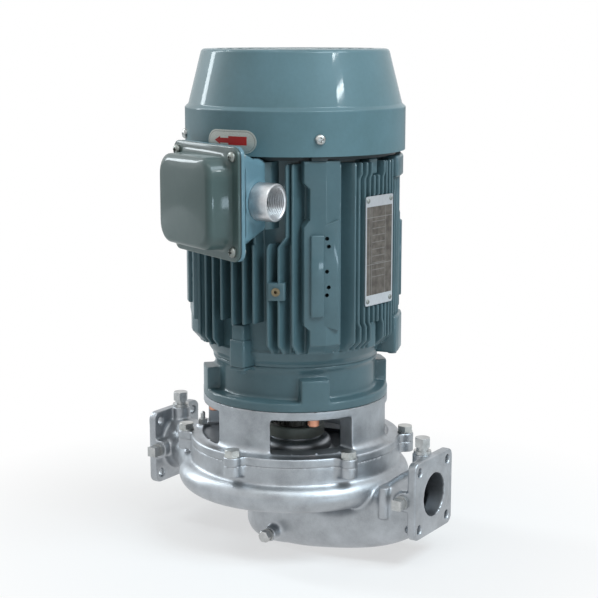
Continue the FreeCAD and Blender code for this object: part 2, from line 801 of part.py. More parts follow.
def bracket():
    """The lantern between the casing and the motor, with four windows."""
    flare = 6.0
    outer = turned([
        (0, joint_face), (rim_radius, joint_face), (rim_radius, bracket_foot_top - 1.0),
        (rim_radius - 1.0, bracket_foot_top), (bracket_outer + flare, bracket_foot_top),
        (bracket_outer + flare * 0.3, bracket_foot_top + flare * 0.3, bracket_outer,
         bracket_foot_top + flare), (motor_lip_radius, motor_face), (0, motor_face)])
    inner = turned([
        (0, joint_face - OUT), (bracket_foot_opening, joint_face - OUT),
        (bracket_foot_opening, bracket_foot_top - 2.0), (bracket_inner, bracket_foot_top + 1.0),
        (bracket_inner, window_top), (bracket_bore, window_top), (bracket_bore, motor_face + OUT),
        (0, motor_face + OUT)])
    right = math.radians(window_right_angle)
    far = 2 * rim_radius
    left_x = -bracket_outer * math.sin(math.radians(window_left_angle))
    window = prism([(0, 0), (far * math.sin(right), -far * math.cos(right)), (left_x, -far),
                    (left_x, left_x)], bracket_foot_top, window_top)
    windows = [turn(window, a) for a in window_azimuths()]
    seat = cylinder(rim_radius + OUT, bracket_foot_top, window_top).cut(
        cylinder(bracket_outer + 1.0, 0, motor_face))
    opened = [window.cut(seat) for window in windows]
    ears = [turn(ear(rim_radius - 3.0, ear_radius, joint_face, bracket_foot_top), a)
            for a in ear_azimuths()]
    vent = placed(cylinder(6.0, -2.0, 3.0), vent_point(), UP)
    body = joined([outer.cut([inner] + opened), vent] + ears)
    holes = [turn(cylinder(m8_radius + 0.3, joint_face - OUT, bracket_foot_top + OUT, 0,
                           -ear_bolt_radius), a) for a in ear_azimuths()]
    holes += [turn(cylinder(cap_screw_radius + 0.3, window_top - OUT, motor_face + OUT, 0,
                            -flange_bolt_radius), a) for a in window_azimuths()]
    holes.append(placed(cylinder(2.6, -bracket_foot_thickness - 1.0, 6.0), vent_point(), UP))
    return body.cut(holes)


def vent_point():
    """Where the air vent stands on the bracket foot."""
    return around(90.5, -67.0, bracket_foot_top)


def window_azimuths():
    """Azimuths of the middles of the windows, where the motor bolts are reached."""
    return [window_first + 360.0 / window_count * i for i in range(window_count)]


def air_vent():
    """The vent screw on the bracket foot."""
    screw = cylinder(2.6, -bracket_foot_thickness, 3.0).fuse(hexagon(8.0, 3.0, 8.0))
    screw = screw.fuse(cylinder(2.2, 8.0, 13.0)).fuse(Part.makeSphere(2.2, V(0, 0, 13.0)))
    return placed(screw, vent_point(), UP)


def casing_bolts():
    """Hexagon screws through the bracket ears into the casing ears."""
    screw = hex_screw(m8_radius, m8_flats, m8_head, bracket_foot_thickness + casing_ear_height)
    top = bracket_foot_top + washer_thickness
    return [placed(screw, around(ear_bolt_radius, a, top), UP) for a in ear_azimuths()]


def casing_bolt_washers():
    """Spring washers under the casing screws."""
    washer = ring(washer_radius - 0.6, m8_radius + 0.2, 0, washer_thickness)
    return [placed(washer, around(ear_bolt_radius, a, bracket_foot_top), UP)
            for a in ear_azimuths()]


def motor_bolts():
    """Cap screws from inside the windows up into the ears of the motor flange."""
    head = turned([(0, 0), (cap_head_radius, 0), (cap_head_radius, cap_head - 1.0),
                   (cap_head_radius - 1.0, cap_head), (0, cap_head)])
    shank = cylinder(cap_screw_radius, -bracket_ring_thickness - motor_bolt_length, 0)
    screw = head.fuse(shank).cut(hexagon(cap_socket_flats, cap_head / 2, cap_head + OUT))
    return [placed(screw, around(flange_bolt_radius, a, window_top), V(0, 0, -1))
            for a in window_azimuths()]


# Impeller and shaft

def blade():
    """One backward-curved impeller blade, from the eye to the rim."""
    points = []
    steps = 12
    for side in (1, -1):
        order = range(steps + 1) if side > 0 else range(steps, -1, -1)
        for i in order:
            share = i / steps
            radius = skirt_radius + (impeller_radius - skirt_radius) * share
            middle = blade_sweep * (1.0 - (1.0 - share) ** 1.6)
            half = math.degrees(blade_thickness / 2 / radius)
            point = around(radius, middle + side * half * 1.8)
            points.append((point.x, point.y))
    low = impeller_height - outlet_width / 2 - 0.5
    high = impeller_height + outlet_width / 2 + 0.5
    return prism(points, low, high)


def impeller():
    """The closed impeller: two shrouds, the blades between them, the eye skirt and the hub."""
    back = turned([
        (0, impeller_hub_bottom), (impeller_hub_radius - 2.0, impeller_hub_bottom),
        (impeller_hub_radius, impeller_hub_bottom + 2.0),
        (impeller_hub_radius, impeller_height - outlet_width / 2),
        (impeller_hub_radius + 6.0, impeller_height + outlet_width / 2 - 1.0),
        (impeller_hub_radius + 12.0, impeller_height + outlet_width / 2),
        (impeller_radius, impeller_height + outlet_width / 2),
        (impeller_radius, shroud_top), (impeller_hub_radius + 2.0, shroud_top),
        (impeller_hub_radius, impeller_hub_top), (0, impeller_hub_top)])
    front_low = impeller_height - outlet_width / 2
    front = turned([
        (eye_radius, skirt_bottom), (skirt_radius, skirt_bottom), (skirt_radius, shroud_bottom),
        (impeller_radius, shroud_bottom), (impeller_radius, front_low),
        (skirt_radius + 4.0, front_low), (eye_radius, front_low - 6.0)])
    blades = [turn(blade(), 360.0 / blade_count * i) for i in range(blade_count)]
    wheel = joined([back, front] + blades)
    return wheel.cut([cylinder(impeller_seat_radius, impeller_hub_bottom - OUT,
                               impeller_hub_top + OUT), key_slot(0.0)])


def key_slot(clearance):
    """The space of the impeller key, at the front of the shaft."""
    half = key_width / 2 + clearance
    bottom = impeller_hub_bottom + 4.0
    return block(-half, half, -impeller_seat_radius - key_height / 2,
                 -impeller_seat_radius + key_height / 2, bottom, bottom + key_length)


def impeller_key():
    """The key that drives the impeller."""
    return key_slot(0.0)


def impeller_washer():
    """The washer under the impeller nut."""
    return ring(11.0, stud_radius + 0.2, nut_washer_bottom, impeller_hub_bottom)


def impeller_nut():
    """The domed nut that holds the impeller."""
    nut = placed(hexagon(17.0, 0, 8.0), V(0, 0, nut_washer_bottom), V(0, 0, -1))
    dome = turned([(0, nut_bottom - 4.0), (5.5, nut_bottom - 2.6, 7.0, nut_bottom),
                   (7.0, nut_bottom + 1.0), (0, nut_bottom + 1.0)])
    return nut.fuse(dome).cut(cylinder(stud_radius, nut_bottom - 1.0, nut_washer_bottom + OUT))


def motor_shaft():
    """The one-piece shaft from the impeller nut to the fan."""
    step_low = gland_top + 1.0
    lower_seat = lower_bearing - 2.0
    rotor_low = lower_bearing + bearing_width
    fan_seat = upper_bearing + bearing_width + 2.0
    shaft = turned([
        (0, nut_bottom), (stud_radius - 0.5, nut_bottom), (stud_radius, nut_bottom + 0.5),
        (stud_radius, impeller_hub_bottom), (impeller_seat_radius, impeller_hub_bottom),
        (impeller_seat_radius, impeller_hub_top), (seal_seat_shaft_radius, impeller_hub_top),
        (seal_seat_shaft_radius, lower_seat), (bearing_bore, lower_seat),
        (bearing_bore, rotor_low), (rotor_seat_radius, rotor_low),
        (rotor_seat_radius, upper_bearing), (bearing_bore, upper_bearing),
        (bearing_bore, fan_seat), (fan_seat_radius, fan_seat),
        (fan_seat_radius, fan_top() + 3.0), (fan_seat_radius - 1.0, fan_top() + 4.0),
        (0, fan_top() + 4.0)])
    circlip = ring(fan_seat_radius + OUT, fan_seat_radius - 0.6, fan_top(), fan_top() + 1.2)
    return shaft.cut([key_slot(0.0), circlip])


def shaft_collar():
    """The ribbed clamping collar on the shaft above the seal."""
    bottom = collar_bottom
    top = bottom + collar_height
    base = ring(collar_radius - 1.2, seal_seat_shaft_radius, bottom, top)
    rib = block(-1.1, 1.1, -collar_radius, -collar_radius + 3.0, bottom + 0.8, top - 0.8)
    ribs = [turn(rib, 360.0 / collar_ribs * i) for i in range(collar_ribs)]
    return joined([base] + ribs)


def rotor_core():
    """The laminated rotor pressed on the shaft."""
    return ring(stator_bore - air_gap, rotor_seat_radius, core_bottom, core_top)


def rotor_end_rings():
    """The cast aluminium rings of the cage, with small cooling blades."""
    rings = []
    for base, direction in ((core_bottom, -1), (core_top, 1)):
        ends = sorted((base, base + direction * rotor_ring_height))
        tips = sorted((base + direction * rotor_ring_height / 2, base + direction * 16.0))
        vane = block(-1.5, 1.5, -rotor_ring_outer + 1.0, -rotor_ring_inner - 3.0, tips[0], tips[1])
        vanes = [turn(vane, 40.0 * i) for i in range(9)]
        rings.append(joined([ring(rotor_ring_outer, rotor_ring_inner, ends[0], ends[1])] + vanes))
    return rings


# Bearings

def outer_race(bottom):
    """The outer ring of a bearing."""
    race = ring(bearing_outer, outer_land, bottom, bottom + bearing_width)
    return race.cut(Part.makeTorus(ball_circle, groove_radius, V(0, 0, bottom + bearing_width / 2)))


def inner_race(bottom):
    """The inner ring of a bearing."""
    race = ring(inner_land, bearing_bore, bottom, bottom + bearing_width)
    return race.cut(Part.makeTorus(ball_circle, groove_radius, V(0, 0, bottom + bearing_width / 2)))


def bearing_balls(bottom):
    """The balls of a bearing."""
    return [Part.makeSphere(ball_radius, around(ball_circle, 360.0 / ball_count * i,
                                                bottom + bearing_width / 2))
            for i in range(ball_count)]


def ball_cage(bottom):
    """The band that keeps the balls apart."""
    middle = bottom + bearing_width / 2
    band = ring(ball_circle + 1.0, ball_circle - 1.0, middle - 5.0, middle + 5.0)
    pocket = Part.makeCylinder(ball_radius + 0.1, 8.0, V(0, -ball_circle - 4.0, middle),
                               V(0, 1, 0))
    return band.cut([turn(pocket, 360.0 / ball_count * i) for i in range(ball_count)])


# Motor

def drive_shield():
    """The painted lower end of the motor: flange lip, neck, ears and bearing housing."""
    bearing_top = lower_bearing + bearing_width
    outer = turned([
        (0, motor_face), (motor_lip_radius, motor_face), (motor_lip_radius, lip_top - 1.5),
        (motor_lip_radius - 1.5, lip_top), (neck_radius + 1.5, lip_top),
        (neck_radius, lip_top + 1.5), (neck_radius, frame_bottom - 5.0),
        (shield_rim_radius, frame_bottom - 3.0), (shield_rim_radius, frame_bottom),
        (core_radius - FIT, frame_bottom), (core_radius - FIT, frame_bottom + 4.0),
        (0, frame_bottom + 4.0)])
    hollow = turned([
        (bearing_boss_radius, frame_bottom + OUT + 4.0),
        (neck_radius - shield_wall, frame_bottom + OUT + 4.0),
        (neck_radius - shield_wall, lower_bearing + 1.0),
        (bearing_boss_radius, lower_bearing - 4.0)])
    above = cylinder(bearing_boss_radius + 1.0, bearing_top + 2.0, frame_bottom + 2 * OUT)
    bearing_seat = cylinder(bearing_outer, lower_bearing, frame_bottom + 2 * OUT)
    seal_bore = cylinder(oil_seal_radius, motor_face - OUT, lower_bearing - 3.0)
    shaft_hole = cylinder(bearing_bore + 1.0, motor_face - OUT, frame_bottom)
    lug = block(-ear_half_width, ear_half_width, -motor_lip_radius, -neck_radius + 4.0,
                lip_top - 1.0, ear_top)
    keep = cylinder(motor_lip_radius - 0.2, motor_face, ear_top)
    ears = [turn(lug, a).common(keep) for a in window_azimuths()]
    feet = [turn(lug_foot(), a) for a in lug_azimuths]
    body = joined([outer] + ears + feet)
    taps = [turn(cylinder(cap_screw_radius, motor_face - OUT, ear_top - 6.0, 0,
                          -flange_bolt_radius), a)
            for a in window_azimuths()]
    rods = [turn(cylinder(m5_radius, ear_top - 20.0, frame_bottom + OUT, 0, -lug_bolt_radius), a)
            for a in lug_azimuths]
    return body.cut([hollow, above, bearing_seat, seal_bore, shaft_hole] + taps + rods)


def lug_foot():
    """The part of a bolt lug that stands on the drive shield, at the front."""
    foot = prism([(-lug_half_width - 1.0, -neck_radius + 3.0),
                  (lug_half_width + 1.0, -neck_radius + 3.0),
                  (lug_half_width, -lug_reach + 1.0), (-lug_half_width, -lug_reach + 1.0)],
                 frame_bottom - lug_foot_height, frame_bottom)
    return foot


def oil_seal():
    """The rubber lip seal that keeps water out of the motor."""
    return ring(oil_seal_radius, seal_seat_shaft_radius + RUN, motor_face + 1.0,
                motor_face + 8.0)


def motor_frame():
    """The finned motor frame with its pads, bolt lugs, earth pad and terminal seat."""
    fin_bottom = frame_bottom + fin_bottom_rise
    fin_top = frame_top - fin_top_drop
    collar = turned([
        (core_radius, frame_bottom), (shield_rim_radius + 0.2, frame_bottom),
        (shield_rim_radius + 0.7, frame_bottom + 1.5),
        (barrel_radius - 1.0, frame_bottom + 6.5),
        (barrel_radius + 1.5, fin_bottom - 1.0), (barrel_radius, fin_bottom + 1.0),
        (barrel_radius, frame_top), (core_radius, frame_top)])
    shapes = [collar]
    lug_x = lug_reach * math.sin(math.radians(lug_azimuths[0]))
    block_x = -lug_reach * math.cos(math.radians(block_azimuths[0]))
    above_lug = frame_bottom + lug_height + 1.0
    for place in front_fin_places:
        low = above_lug if abs(place - lug_x) < 2.5 * lug_half_width else fin_bottom
        shapes += [turn(cooling_fin(place, low, fin_top), a) for a in (0.0, 180.0)]
    for place in side_fin_places:
        at_block = abs(place - block_x) < block_half_width - fin_thickness / 2
        low = fin_bottom + block_height if at_block else fin_bottom
        high = frame_top - block_top_height if at_block else fin_top
        shapes += [turn(cooling_fin(place, low, high), a) for a in (90.0, 270.0)]
    for a in block_azimuths:
        shapes += [turn(frame_block(fin_bottom, block_height), a),
                   turn(frame_block(frame_top - block_top_height, block_top_height), a)]
    shapes += [turn(foot_pad(), a) for a in pad_azimuths]
    shapes += [turn(bolt_lug(), a) for a in lug_azimuths]
    shapes += [side_lug(frame_bottom + side_lug_bottom, side_lug_height),
               side_lug(frame_top - side_lug_top_height, side_lug_top_height)]
    shapes.append(turn(earth_pad(), earth_azimuth))
    shapes.append(nameplate_seat())
    shapes.append(block(seat_left_x, box_side_x, box_back_y, -barrel_radius + 12.0,
                        box_height - seat_half_height, frame_top - seat_top_drop))
    frame = joined(shapes)
    earth = turn(Part.makeCylinder(m5_radius, 14.0, V(0, -fin_tip_radius - 2.0,
                                                     frame_bottom + earth_height_rise),
                                   V(0, 1, 0)), earth_azimuth)
    lead = Part.makeCylinder(lead_hole_radius, 40.0, V(lead_x(), box_back_y - OUT, box_height),
                             V(0, 1, 0))
    rods = [turn(cylinder(m5_radius, frame_bottom - OUT, frame_bottom + lug_height - 12.0, 0,
                          -lug_bolt_radius), a) for a in lug_azimuths]
    rods.append(turn(cylinder(m5_radius, frame_bottom, frame_bottom + side_lug_height - 6.0, 0,
                              -side_bolt_radius), side_lug_azimuth))
    shield_taps = [turn(cylinder(m5_radius, frame_top - 14.0, frame_top + OUT, 0,
                                 -shield_bolt_radius), a) for a in shield_screw_azimuths()]
    box_taps = [Part.makeCylinder(m5_radius, 12.0, V(x, box_back_y - OUT, box_height + z),
                                  V(0, 1, 0)) for x, z in box_screw_places()]
    pad_holes = []
    for a in pad_azimuths:
        for i, rise in enumerate(pad_hole_rises):
            hole = Part.makeCylinder(pad_hole_radius, 12.0,
                                     V(-pad_bar_right + 3.0 + 1.5 * (i % 2), -pad_radius - 2.0,
                                       frame_bottom + pad_bar_bottom + rise), V(0, 1, 0))
            pad_holes.append(turn(hole, a))
    bore = cylinder(core_radius, frame_bottom - OUT, frame_top + OUT)
    box_room = block(-2 * pad_radius, box_side_x + 1.5, -2 * pad_radius, box_back_y,
                     box_height - box_bottom_reach - 4.0, frame_top + OUT)
    conduit_room = Part.makeCylinder(conduit_outer + 1.0, conduit_length + OUT,
                                     V(box_side_x, conduit_y, box_height), V(1, 0, 0))
    plate_low = frame_bottom + nameplate_rise - nameplate_height / 2 - 1.0
    plate_room = turn(block(-nameplate_width / 2 - 1.0, nameplate_width / 2 + 1.0,
                            -2 * pad_radius, -nameplate_distance(), plate_low,
                            plate_low + nameplate_height + 2.0), nameplate_azimuth)
    rooms = [bore, box_room, conduit_room, plate_room]
    return frame.cut(rooms + [earth, lead] + rods + shield_taps + box_taps + pad_holes)


def lead_x():
    """Sideways place of the hole for the motor leads."""
    return (seat_left_x + box_side_x) / 2


def box_screw_places():
    """The screws that hold the terminal box to its seat, as (x, z from the box centre)."""
    return [(seat_left_x + 8.0, -18.0), (seat_left_x + 8.0, 18.0),
            (box_side_x - 9.0, -18.0), (box_side_x - 9.0, 18.0)]


def shield_screw_azimuths():
    """Azimuths of the rear shield screws, above the pads and beside the cover ears."""
    return [azimuth + shield_screw_offset for azimuth in window_azimuths()]


def cooling_fin(place, low, high):
    """One of the parallel fins at the front, place mm to the right of the middle. Its tip lies on
    the circle of the fin tips and its lower outer corner is cut off."""
    half = fin_thickness / 2
    root = -math.sqrt(barrel_radius ** 2 - place ** 2) + 3.0
    tip = -math.sqrt(fin_tip_radius ** 2 - place ** 2)
    plan = prism([(place - half - 0.4, root), (place + half + 0.4, root),
                  (place + half - 0.3, tip), (place - half + 0.3, tip)], low, high)
    corners = [V(place - OUT, tip - 1.0, low - 1.0), V(place - OUT, tip + fin_corner, low - 1.0),
               V(place - OUT, tip + fin_corner, low + 2.0),
               V(place - OUT, tip, low + fin_corner + 2.0),
               V(place - OUT, tip - 1.0, low + fin_corner + 2.0)]
    corner = Part.Face(Part.makePolygon(corners + corners[:1])).extrude(V(2 * OUT, 0, 0))
    return plan.cut(corner)


def frame_block(low, height):
    """A short block at one end of the frame, at the front."""
    return prism([(-block_half_width - 1.0, -barrel_radius + 5.0),
                  (block_half_width + 1.0, -barrel_radius + 5.0),
                  (block_half_width, -lug_reach), (-block_half_width, -lug_reach)],
                 low, low + height)


def upright(outline, back):
    """A slab whose outline is given as (x, z), from its back forwards beyond the pads."""
    corners = [V(x, back, z) for x, z in outline]
    return Part.Face(Part.makePolygon(corners + corners[:1])).extrude(V(0, -pad_radius, 0))


def foot_pad():
    """A pad on the frame for a mounting foot. Its outside is two facets that meet in a ridge; over
    the middle the left one goes on to the right. It has a waist on the left and a raised bar."""
    low = frame_bottom + fin_bottom_rise
    high = frame_top
    bottom = frame_bottom + pad_middle_bottom
    top = frame_bottom + pad_middle_top
    head = high - pad_head_height
    edge = [(-pad_waist, low), (pad_right, low), (pad_right, high), (-pad_left, high),
            (-pad_left, head), (-pad_waist, head - pad_slant), (-pad_waist, top + pad_slant),
            (-pad_left, top), (-pad_left, bottom + pad_slant), (-pad_waist, bottom)]
    ridge_y = -pad_radius - pad_slope * (pad_ridge + pad_left)
    block_y = -pad_radius - pad_slope * (pad_block_right + pad_left)
    back = -barrel_radius + 6.0
    facets = prism([(-pad_left, back), (pad_right, back),
                    (pad_right, ridge_y + pad_fall * (pad_right - pad_ridge)),
                    (pad_ridge, ridge_y), (-pad_left, -pad_radius)], low, high)
    block_low = frame_bottom + pad_block_bottom
    block_high = frame_bottom + pad_block_top
    plane = prism([(0, back), (pad_block_right, back), (pad_block_right, block_y),
                   (0, -pad_radius - pad_slope * pad_left)], block_low, block_high + pad_slant)
    stretch = [(0, block_low + pad_slant), (pad_block_right, block_low),
               (pad_block_right, block_high + pad_slant), (0, block_high)]
    pad = joined([facets.common(upright(edge, back)), plane.common(upright(stretch, back))])
    slant = [V(-pad_radius, -pad_radius - 3.0, low - 1.0),
             V(-pad_radius, -pad_radius + fin_corner, low - 1.0),
             V(-pad_radius, -pad_radius + fin_corner, low + 2.0),
             V(-pad_radius, -pad_radius - 3.0, low + fin_corner + 5.0)]
    pad = pad.cut(Part.Face(Part.makePolygon(slant + slant[:1])).extrude(V(2 * pad_radius, 0, 0)))
    bar_low = frame_bottom + pad_bar_bottom
    bar = prism([(-pad_bar_left, -pad_radius + 4.0), (-pad_bar_right, -pad_radius + 3.0),
                 (-pad_bar_right, -pad_bar_radius), (-pad_bar_left, -pad_bar_radius + 0.6)],
                bar_low, bar_low + pad_bar_length)
    return joined([pad, bar])


def bolt_lug():
    """A lug at the lower end of the frame for a screw from the drive shield."""
    low = frame_bottom
    high = frame_bottom + lug_height
    step = high - 14.0
    body = prism([(-lug_half_width - 1.0, -barrel_radius + 5.0),
                  (lug_half_width + 1.0, -barrel_radius + 5.0),
                  (lug_half_width, -lug_reach), (-lug_half_width, -lug_reach)], low, step)
    upper = prism([(-lug_half_width, -barrel_radius + 5.0),
                   (lug_half_width, -barrel_radius + 5.0),
                   (lug_half_width - lug_step, -lug_reach + lug_step),
                   (-lug_half_width + lug_step, -lug_reach + lug_step)], step - 1.0, high)
    return joined([body, upper])


def side_lug(low, height):
    """The broad lug on the right of the frame, made at its own azimuth."""
    half = math.radians(side_lug_half_angle)
    inner = barrel_radius - 4.0
    far = 2 * side_lug_radius
    wedge = prism([(-inner * math.sin(half), -inner * math.cos(half)),
                   (-far * math.sin(half), -far * math.cos(half)),
                   (far * math.sin(half), -far * math.cos(half)),
                   (inner * math.sin(half), -inner * math.cos(half))], low, low + height)
    chamfered = turned([(0, low), (side_lug_radius - 3.0, low), (side_lug_radius, low + 3.0),
                        (side_lug_radius, low + height - 2.0),
                        (side_lug_radius - 2.0, low + height), (0, low + height)])
    return turn(wedge.common(chamfered), side_lug_azimuth)


def earth_pad():
    """The square pad with the earth screw hole, at the front."""
    half = earth_pad_side / 2
    middle = frame_bottom + earth_height_rise
    return block(-half, half, -fin_tip_radius - 1.0, -barrel_radius + 4.0, middle - half,
                 middle + half)


def nameplate_seat():
    """The wide flat fins that carry the nameplate."""
    half = nameplate_width / 2 - 3.0
    low = frame_bottom + nameplate_rise - nameplate_height / 2 + 2.0
    high = low + nameplate_height - 4.0
    face = nameplate_distance()
    rails = [block(x - 2.0, x + 2.0, -face, -barrel_radius + 6.0, low, high)
             for x in (-half, half)]
    webs = [block(-half, half, -face, -face + 2.5, low, high)]
    return turn(joined(rails + webs), nameplate_azimuth)


def nameplate_distance():
    """Distance of the back of the nameplate from the shaft axis."""
    return fin_tip_radius - 1.0


def nameplate():
    """The thin metal plate, bare of lettering."""
    plate = rounded_plate(nameplate_width, nameplate_height, nameplate_thickness, 2.0)
    half_x = nameplate_width / 2 - 3.5
    half_z = nameplate_height / 2 - 4.0
    holes = [cylinder(1.2, -1.0, 3.0, x, y) for x in (-half_x, half_x) for y in (-half_z, half_z)]
    return turn(stood_up(plate.cut(holes)), nameplate_azimuth)


def stood_up(flat):
    """A flat piece built in the XY plane, stood against the nameplate seat at the front."""
    middle = V(0, -nameplate_distance(), frame_bottom + nameplate_rise)
    copy = flat.copy()
    copy.rotate(ORIGIN, V(1, 0, 0), 90)
    copy.translate(middle)
    return copy


def nameplate_rivets():
    """The four drive rivets of the nameplate."""
    half_x = nameplate_width / 2 - 3.5
    half_z = nameplate_height / 2 - 4.0
    top = nameplate_thickness
    rivet = turned([(0, 0), (1.2, 0), (1.2, top), (2.2, top), (2.0, top + 0.6),
                    (1.2, top + 1.1), (0, top + 1.2)])
    return [turn(stood_up(placed(rivet, V(x, y, 0), UP)), nameplate_azimuth)
            for x in (-half_x, half_x) for y in (-half_z, half_z)]


def rotation_label():
    """The label with the arrow of rotation on the fan cover, curved to its band."""
    centre = cover_bottom + label_rise
    end = label_height / 2
    straight = label_width / 2 - end
    outline = block(-straight, straight, -2 * cover_radius, 0, centre - end, centre + end)
    rounds = [Part.makeCylinder(end, 2 * cover_radius, V(x, 0, centre), FRONT)
              for x in (-straight, straight)]
    sheet = ring(cover_radius + label_thickness, cover_radius, cover_bottom, band_top)
    return turn(sheet.common(joined([outline] + rounds)), label_azimuth)


def lug_bolts():
    """The screws that pull the drive shield to the frame."""
    screw = hex_screw(m5_radius, m5_flats, m5_hex_head, lug_screw_length)
    screws = [turn(placed(screw, V(0, -lug_bolt_radius, frame_bottom - lug_foot_height),
                          V(0, 0, -1)), a) for a in lug_azimuths]
    low = frame_bottom + side_lug_bottom
    side = placed(hex_screw(m5_radius, m5_flats, m5_hex_head, side_screw_length),
                  V(0, -side_bolt_radius, low), V(0, 0, -1))
    return screws + [turn(side, side_lug_azimuth)]


def stator_core():
    """The laminated stator pressed in the frame, with its slots."""
    core = ring(core_radius, stator_bore, core_bottom, core_top)
    slot = block(-slot_width / 2, slot_width / 2, -stator_bore - slot_depth - 2.0,
                 -stator_bore - 2.0, core_bottom - 1.0, core_top + 1.0)
    mouth = block(-1.2, 1.2, -stator_bore - 3.0, -stator_bore + 2.0, core_bottom - 1.0,
                  core_top + 1.0)
    tool = slot.fuse(mouth)
    return core.cut([turn(tool, 360.0 / slot_count * i) for i in range(slot_count)])


def stator_windings():
    """The coils: bars through the slots and a rounded bundle at each end."""
    side = FIT
    inner = stator_bore + 2.5
    outer = stator_bore + slot_depth + 1.5
    bar = block(-slot_width / 2 + side, slot_width / 2 - side, -outer, -inner, core_bottom - 3.0,
                core_top + 3.0)
    bars = [turn(bar, 360.0 / slot_count * i) for i in range(slot_count)]
    ends = []
    for base, direction in ((core_bottom, -1), (core_top, 1)):
        low = base + direction * 1.5
        high = base + direction * coil_overhang
        bend = high - direction * 5.0
        middle = (inner + outer) / 2
        ends.append(turned([(inner - 1.0, low), (outer + 2.0, low), (outer + 2.0, bend),
                            (middle + 0.5, high, inner - 1.0, bend)]))
    return joined(ends + bars)


def rear_shield():
    """The upper end shield with the bearing housing and four ears for the fan cover."""
    bearing_top = upper_bearing + bearing_width
    disc = turned([
        (0, upper_bearing - 2.0), (bearing_boss_radius, upper_bearing - 2.0),
        (bearing_boss_radius, frame_top - 4.0), (core_radius - FIT, frame_top - 4.0),
        (core_radius - FIT, frame_top), (rear_rim_radius, frame_top),
        (rear_rim_radius, frame_top + rear_rim_height),
        (rear_rim_radius - 11.0, frame_top + rear_rim_height),
        (bearing_boss_radius + 6.0, shield_top - 3.0), (bearing_boss_radius, shield_top),
        (0, shield_top)])
    reach = cover_radius - cover_sheet - FIT
    root = barrel_radius + 2.0
    lug = prism([(-8.0, -root), (8.0, -root), (7.0, -reach), (-7.0, -reach)], frame_top,
                cover_bottom + cover_screw_rise + 6.0)
    keep = cylinder(reach, frame_top - 1.0, band_top)
    ears = [turn(lug, a).common(keep) for a in window_azimuths()]
    body = joined([disc] + ears)
    seat = cylinder(bearing_outer, upper_bearing, bearing_top + 2.0)
    hole = cylinder(bearing_bore + 1.0, upper_bearing, shield_top + OUT)
    shaft_room = cylinder(rotor_seat_radius + 1.5, upper_bearing - 2 * OUT, upper_bearing)
    taps = [turn(Part.makeCylinder(m5_radius, 14.0, V(0, -reach - 2.0, cover_bottom
                                                     + cover_screw_rise), V(0, 1, 0)), a)
            for a in window_azimuths()]
    shield_holes = [turn(cylinder(m5_radius + 0.2, frame_top - OUT, shield_top + 20.0, 0,
                                  -shield_bolt_radius), a) for a in shield_screw_azimuths()]
    return body.cut([seat, hole, shaft_room] + taps + shield_holes)


def fan_top():
    """Height of the upper end of the fan hub."""
    return fan_plate + fan_blade_height


def cooling_fan():
    """The radial fan on the upper shaft end."""
    plate = cylinder(fan_radius, fan_plate, fan_plate + fan_plate_thickness)
    hub = cylinder(fan_hub_radius, fan_plate - 2.0, fan_top())
    vane = prism([(-fan_blade_thickness / 2, -fan_radius), (fan_blade_thickness / 2, -fan_radius),
                  (fan_blade_thickness / 2, -fan_hub_radius + 2.0),
                  (-fan_blade_thickness / 2, -fan_hub_radius + 2.0)],
                 fan_plate + 1.0, fan_top() - 1.0)
    vanes = [turn(vane, 360.0 / fan_blade_count * i) for i in range(fan_blade_count)]
    return joined([plate, hub] + vanes).cut(cylinder(fan_seat_radius, fan_plate - OUT,
                                                     fan_top() + OUT))


def fan_circlip():
    """The retaining ring above the fan."""
    clip = ring(fan_seat_radius + 2.0, fan_seat_radius - 0.6, fan_top(), fan_top() + 1.2)
    gap = block(-3.0, 3.0, -fan_seat_radius - OUT, -fan_seat_radius + 3.0, fan_top() - 1.0,
                fan_top() + 2.0)
    return clip.cut(gap)


def fan_cover():
    """The pressed steel cover round the fan, with an air grille on top."""
    def shell(inset):
        bend = cover_top_round - inset * 0.5
        top = cover_top - inset
        edge = cover_top_radius - inset
        turn_point = corner_arc(edge - bend, top - bend, bend, 45)
        return turned([
            (0, cover_bottom - inset * OUT), (cover_radius - inset, cover_bottom - inset * OUT),
            (cover_radius - inset, band_top - 1.5),
            (cover_radius - inset - 0.5, band_top - 0.2, cover_radius - inset - 1.6, band_top + 0.8),
            (cover_shoulder_radius - inset, cone_bottom),
            (edge, top - bend), turn_point + (edge - bend, top), (0, top)])
    hood = shell(0.0).cut(shell(cover_sheet))
    spokes = [turn(block(-grille_spoke_width / 2, grille_spoke_width / 2, -cover_radius, 0,
                         cover_top - 3 * OUT, cover_top + 2 * OUT), 360.0 / grille_spokes * i)
              for i in range(grille_spokes)]
    slots = []
    for i in range(grille_rings):
        inner = grille_first_radius + grille_pitch * i
        slots.append(ring(inner + grille_slot, inner, cover_top - OUT, cover_top + OUT).cut(spokes))
    holes = [turn(Part.makeCylinder(m5_radius + 0.2, 20.0, V(0, -cover_radius - OUT, cover_bottom
                                                            + cover_screw_rise), V(0, 1, 0)), a)
             for a in window_azimuths()]
    return hood.cut(slots + holes)


def fan_cover_screws():
    """The pan-head screws that hold the fan cover to the rear shield."""
    screw = pan_screw(m5_radius, m5_head_radius, m5_head, pan_screw_length)
    point = V(0, -cover_radius - 0.02, cover_bottom + cover_screw_rise)
    return [turn(placed(screw, point, FRONT), a) for a in window_azimuths()]


def rear_shield_screws():
    """The screws that hold the rear shield to the frame."""
    screw = hex_screw(m5_radius, m5_flats, m5_hex_head, shield_screw_length)
    return [turn(placed(screw, V(0, -shield_bolt_radius, frame_top + rear_rim_height), UP), a)
            for a in shield_screw_azimuths()]


def wave_washer():
    """The spring washer that loads the upper bearing."""
    bottom = upper_bearing + bearing_width
    return ring(bearing_outer - 0.3, outer_land + 0.5, bottom, bottom + 1.5)


# Terminal box

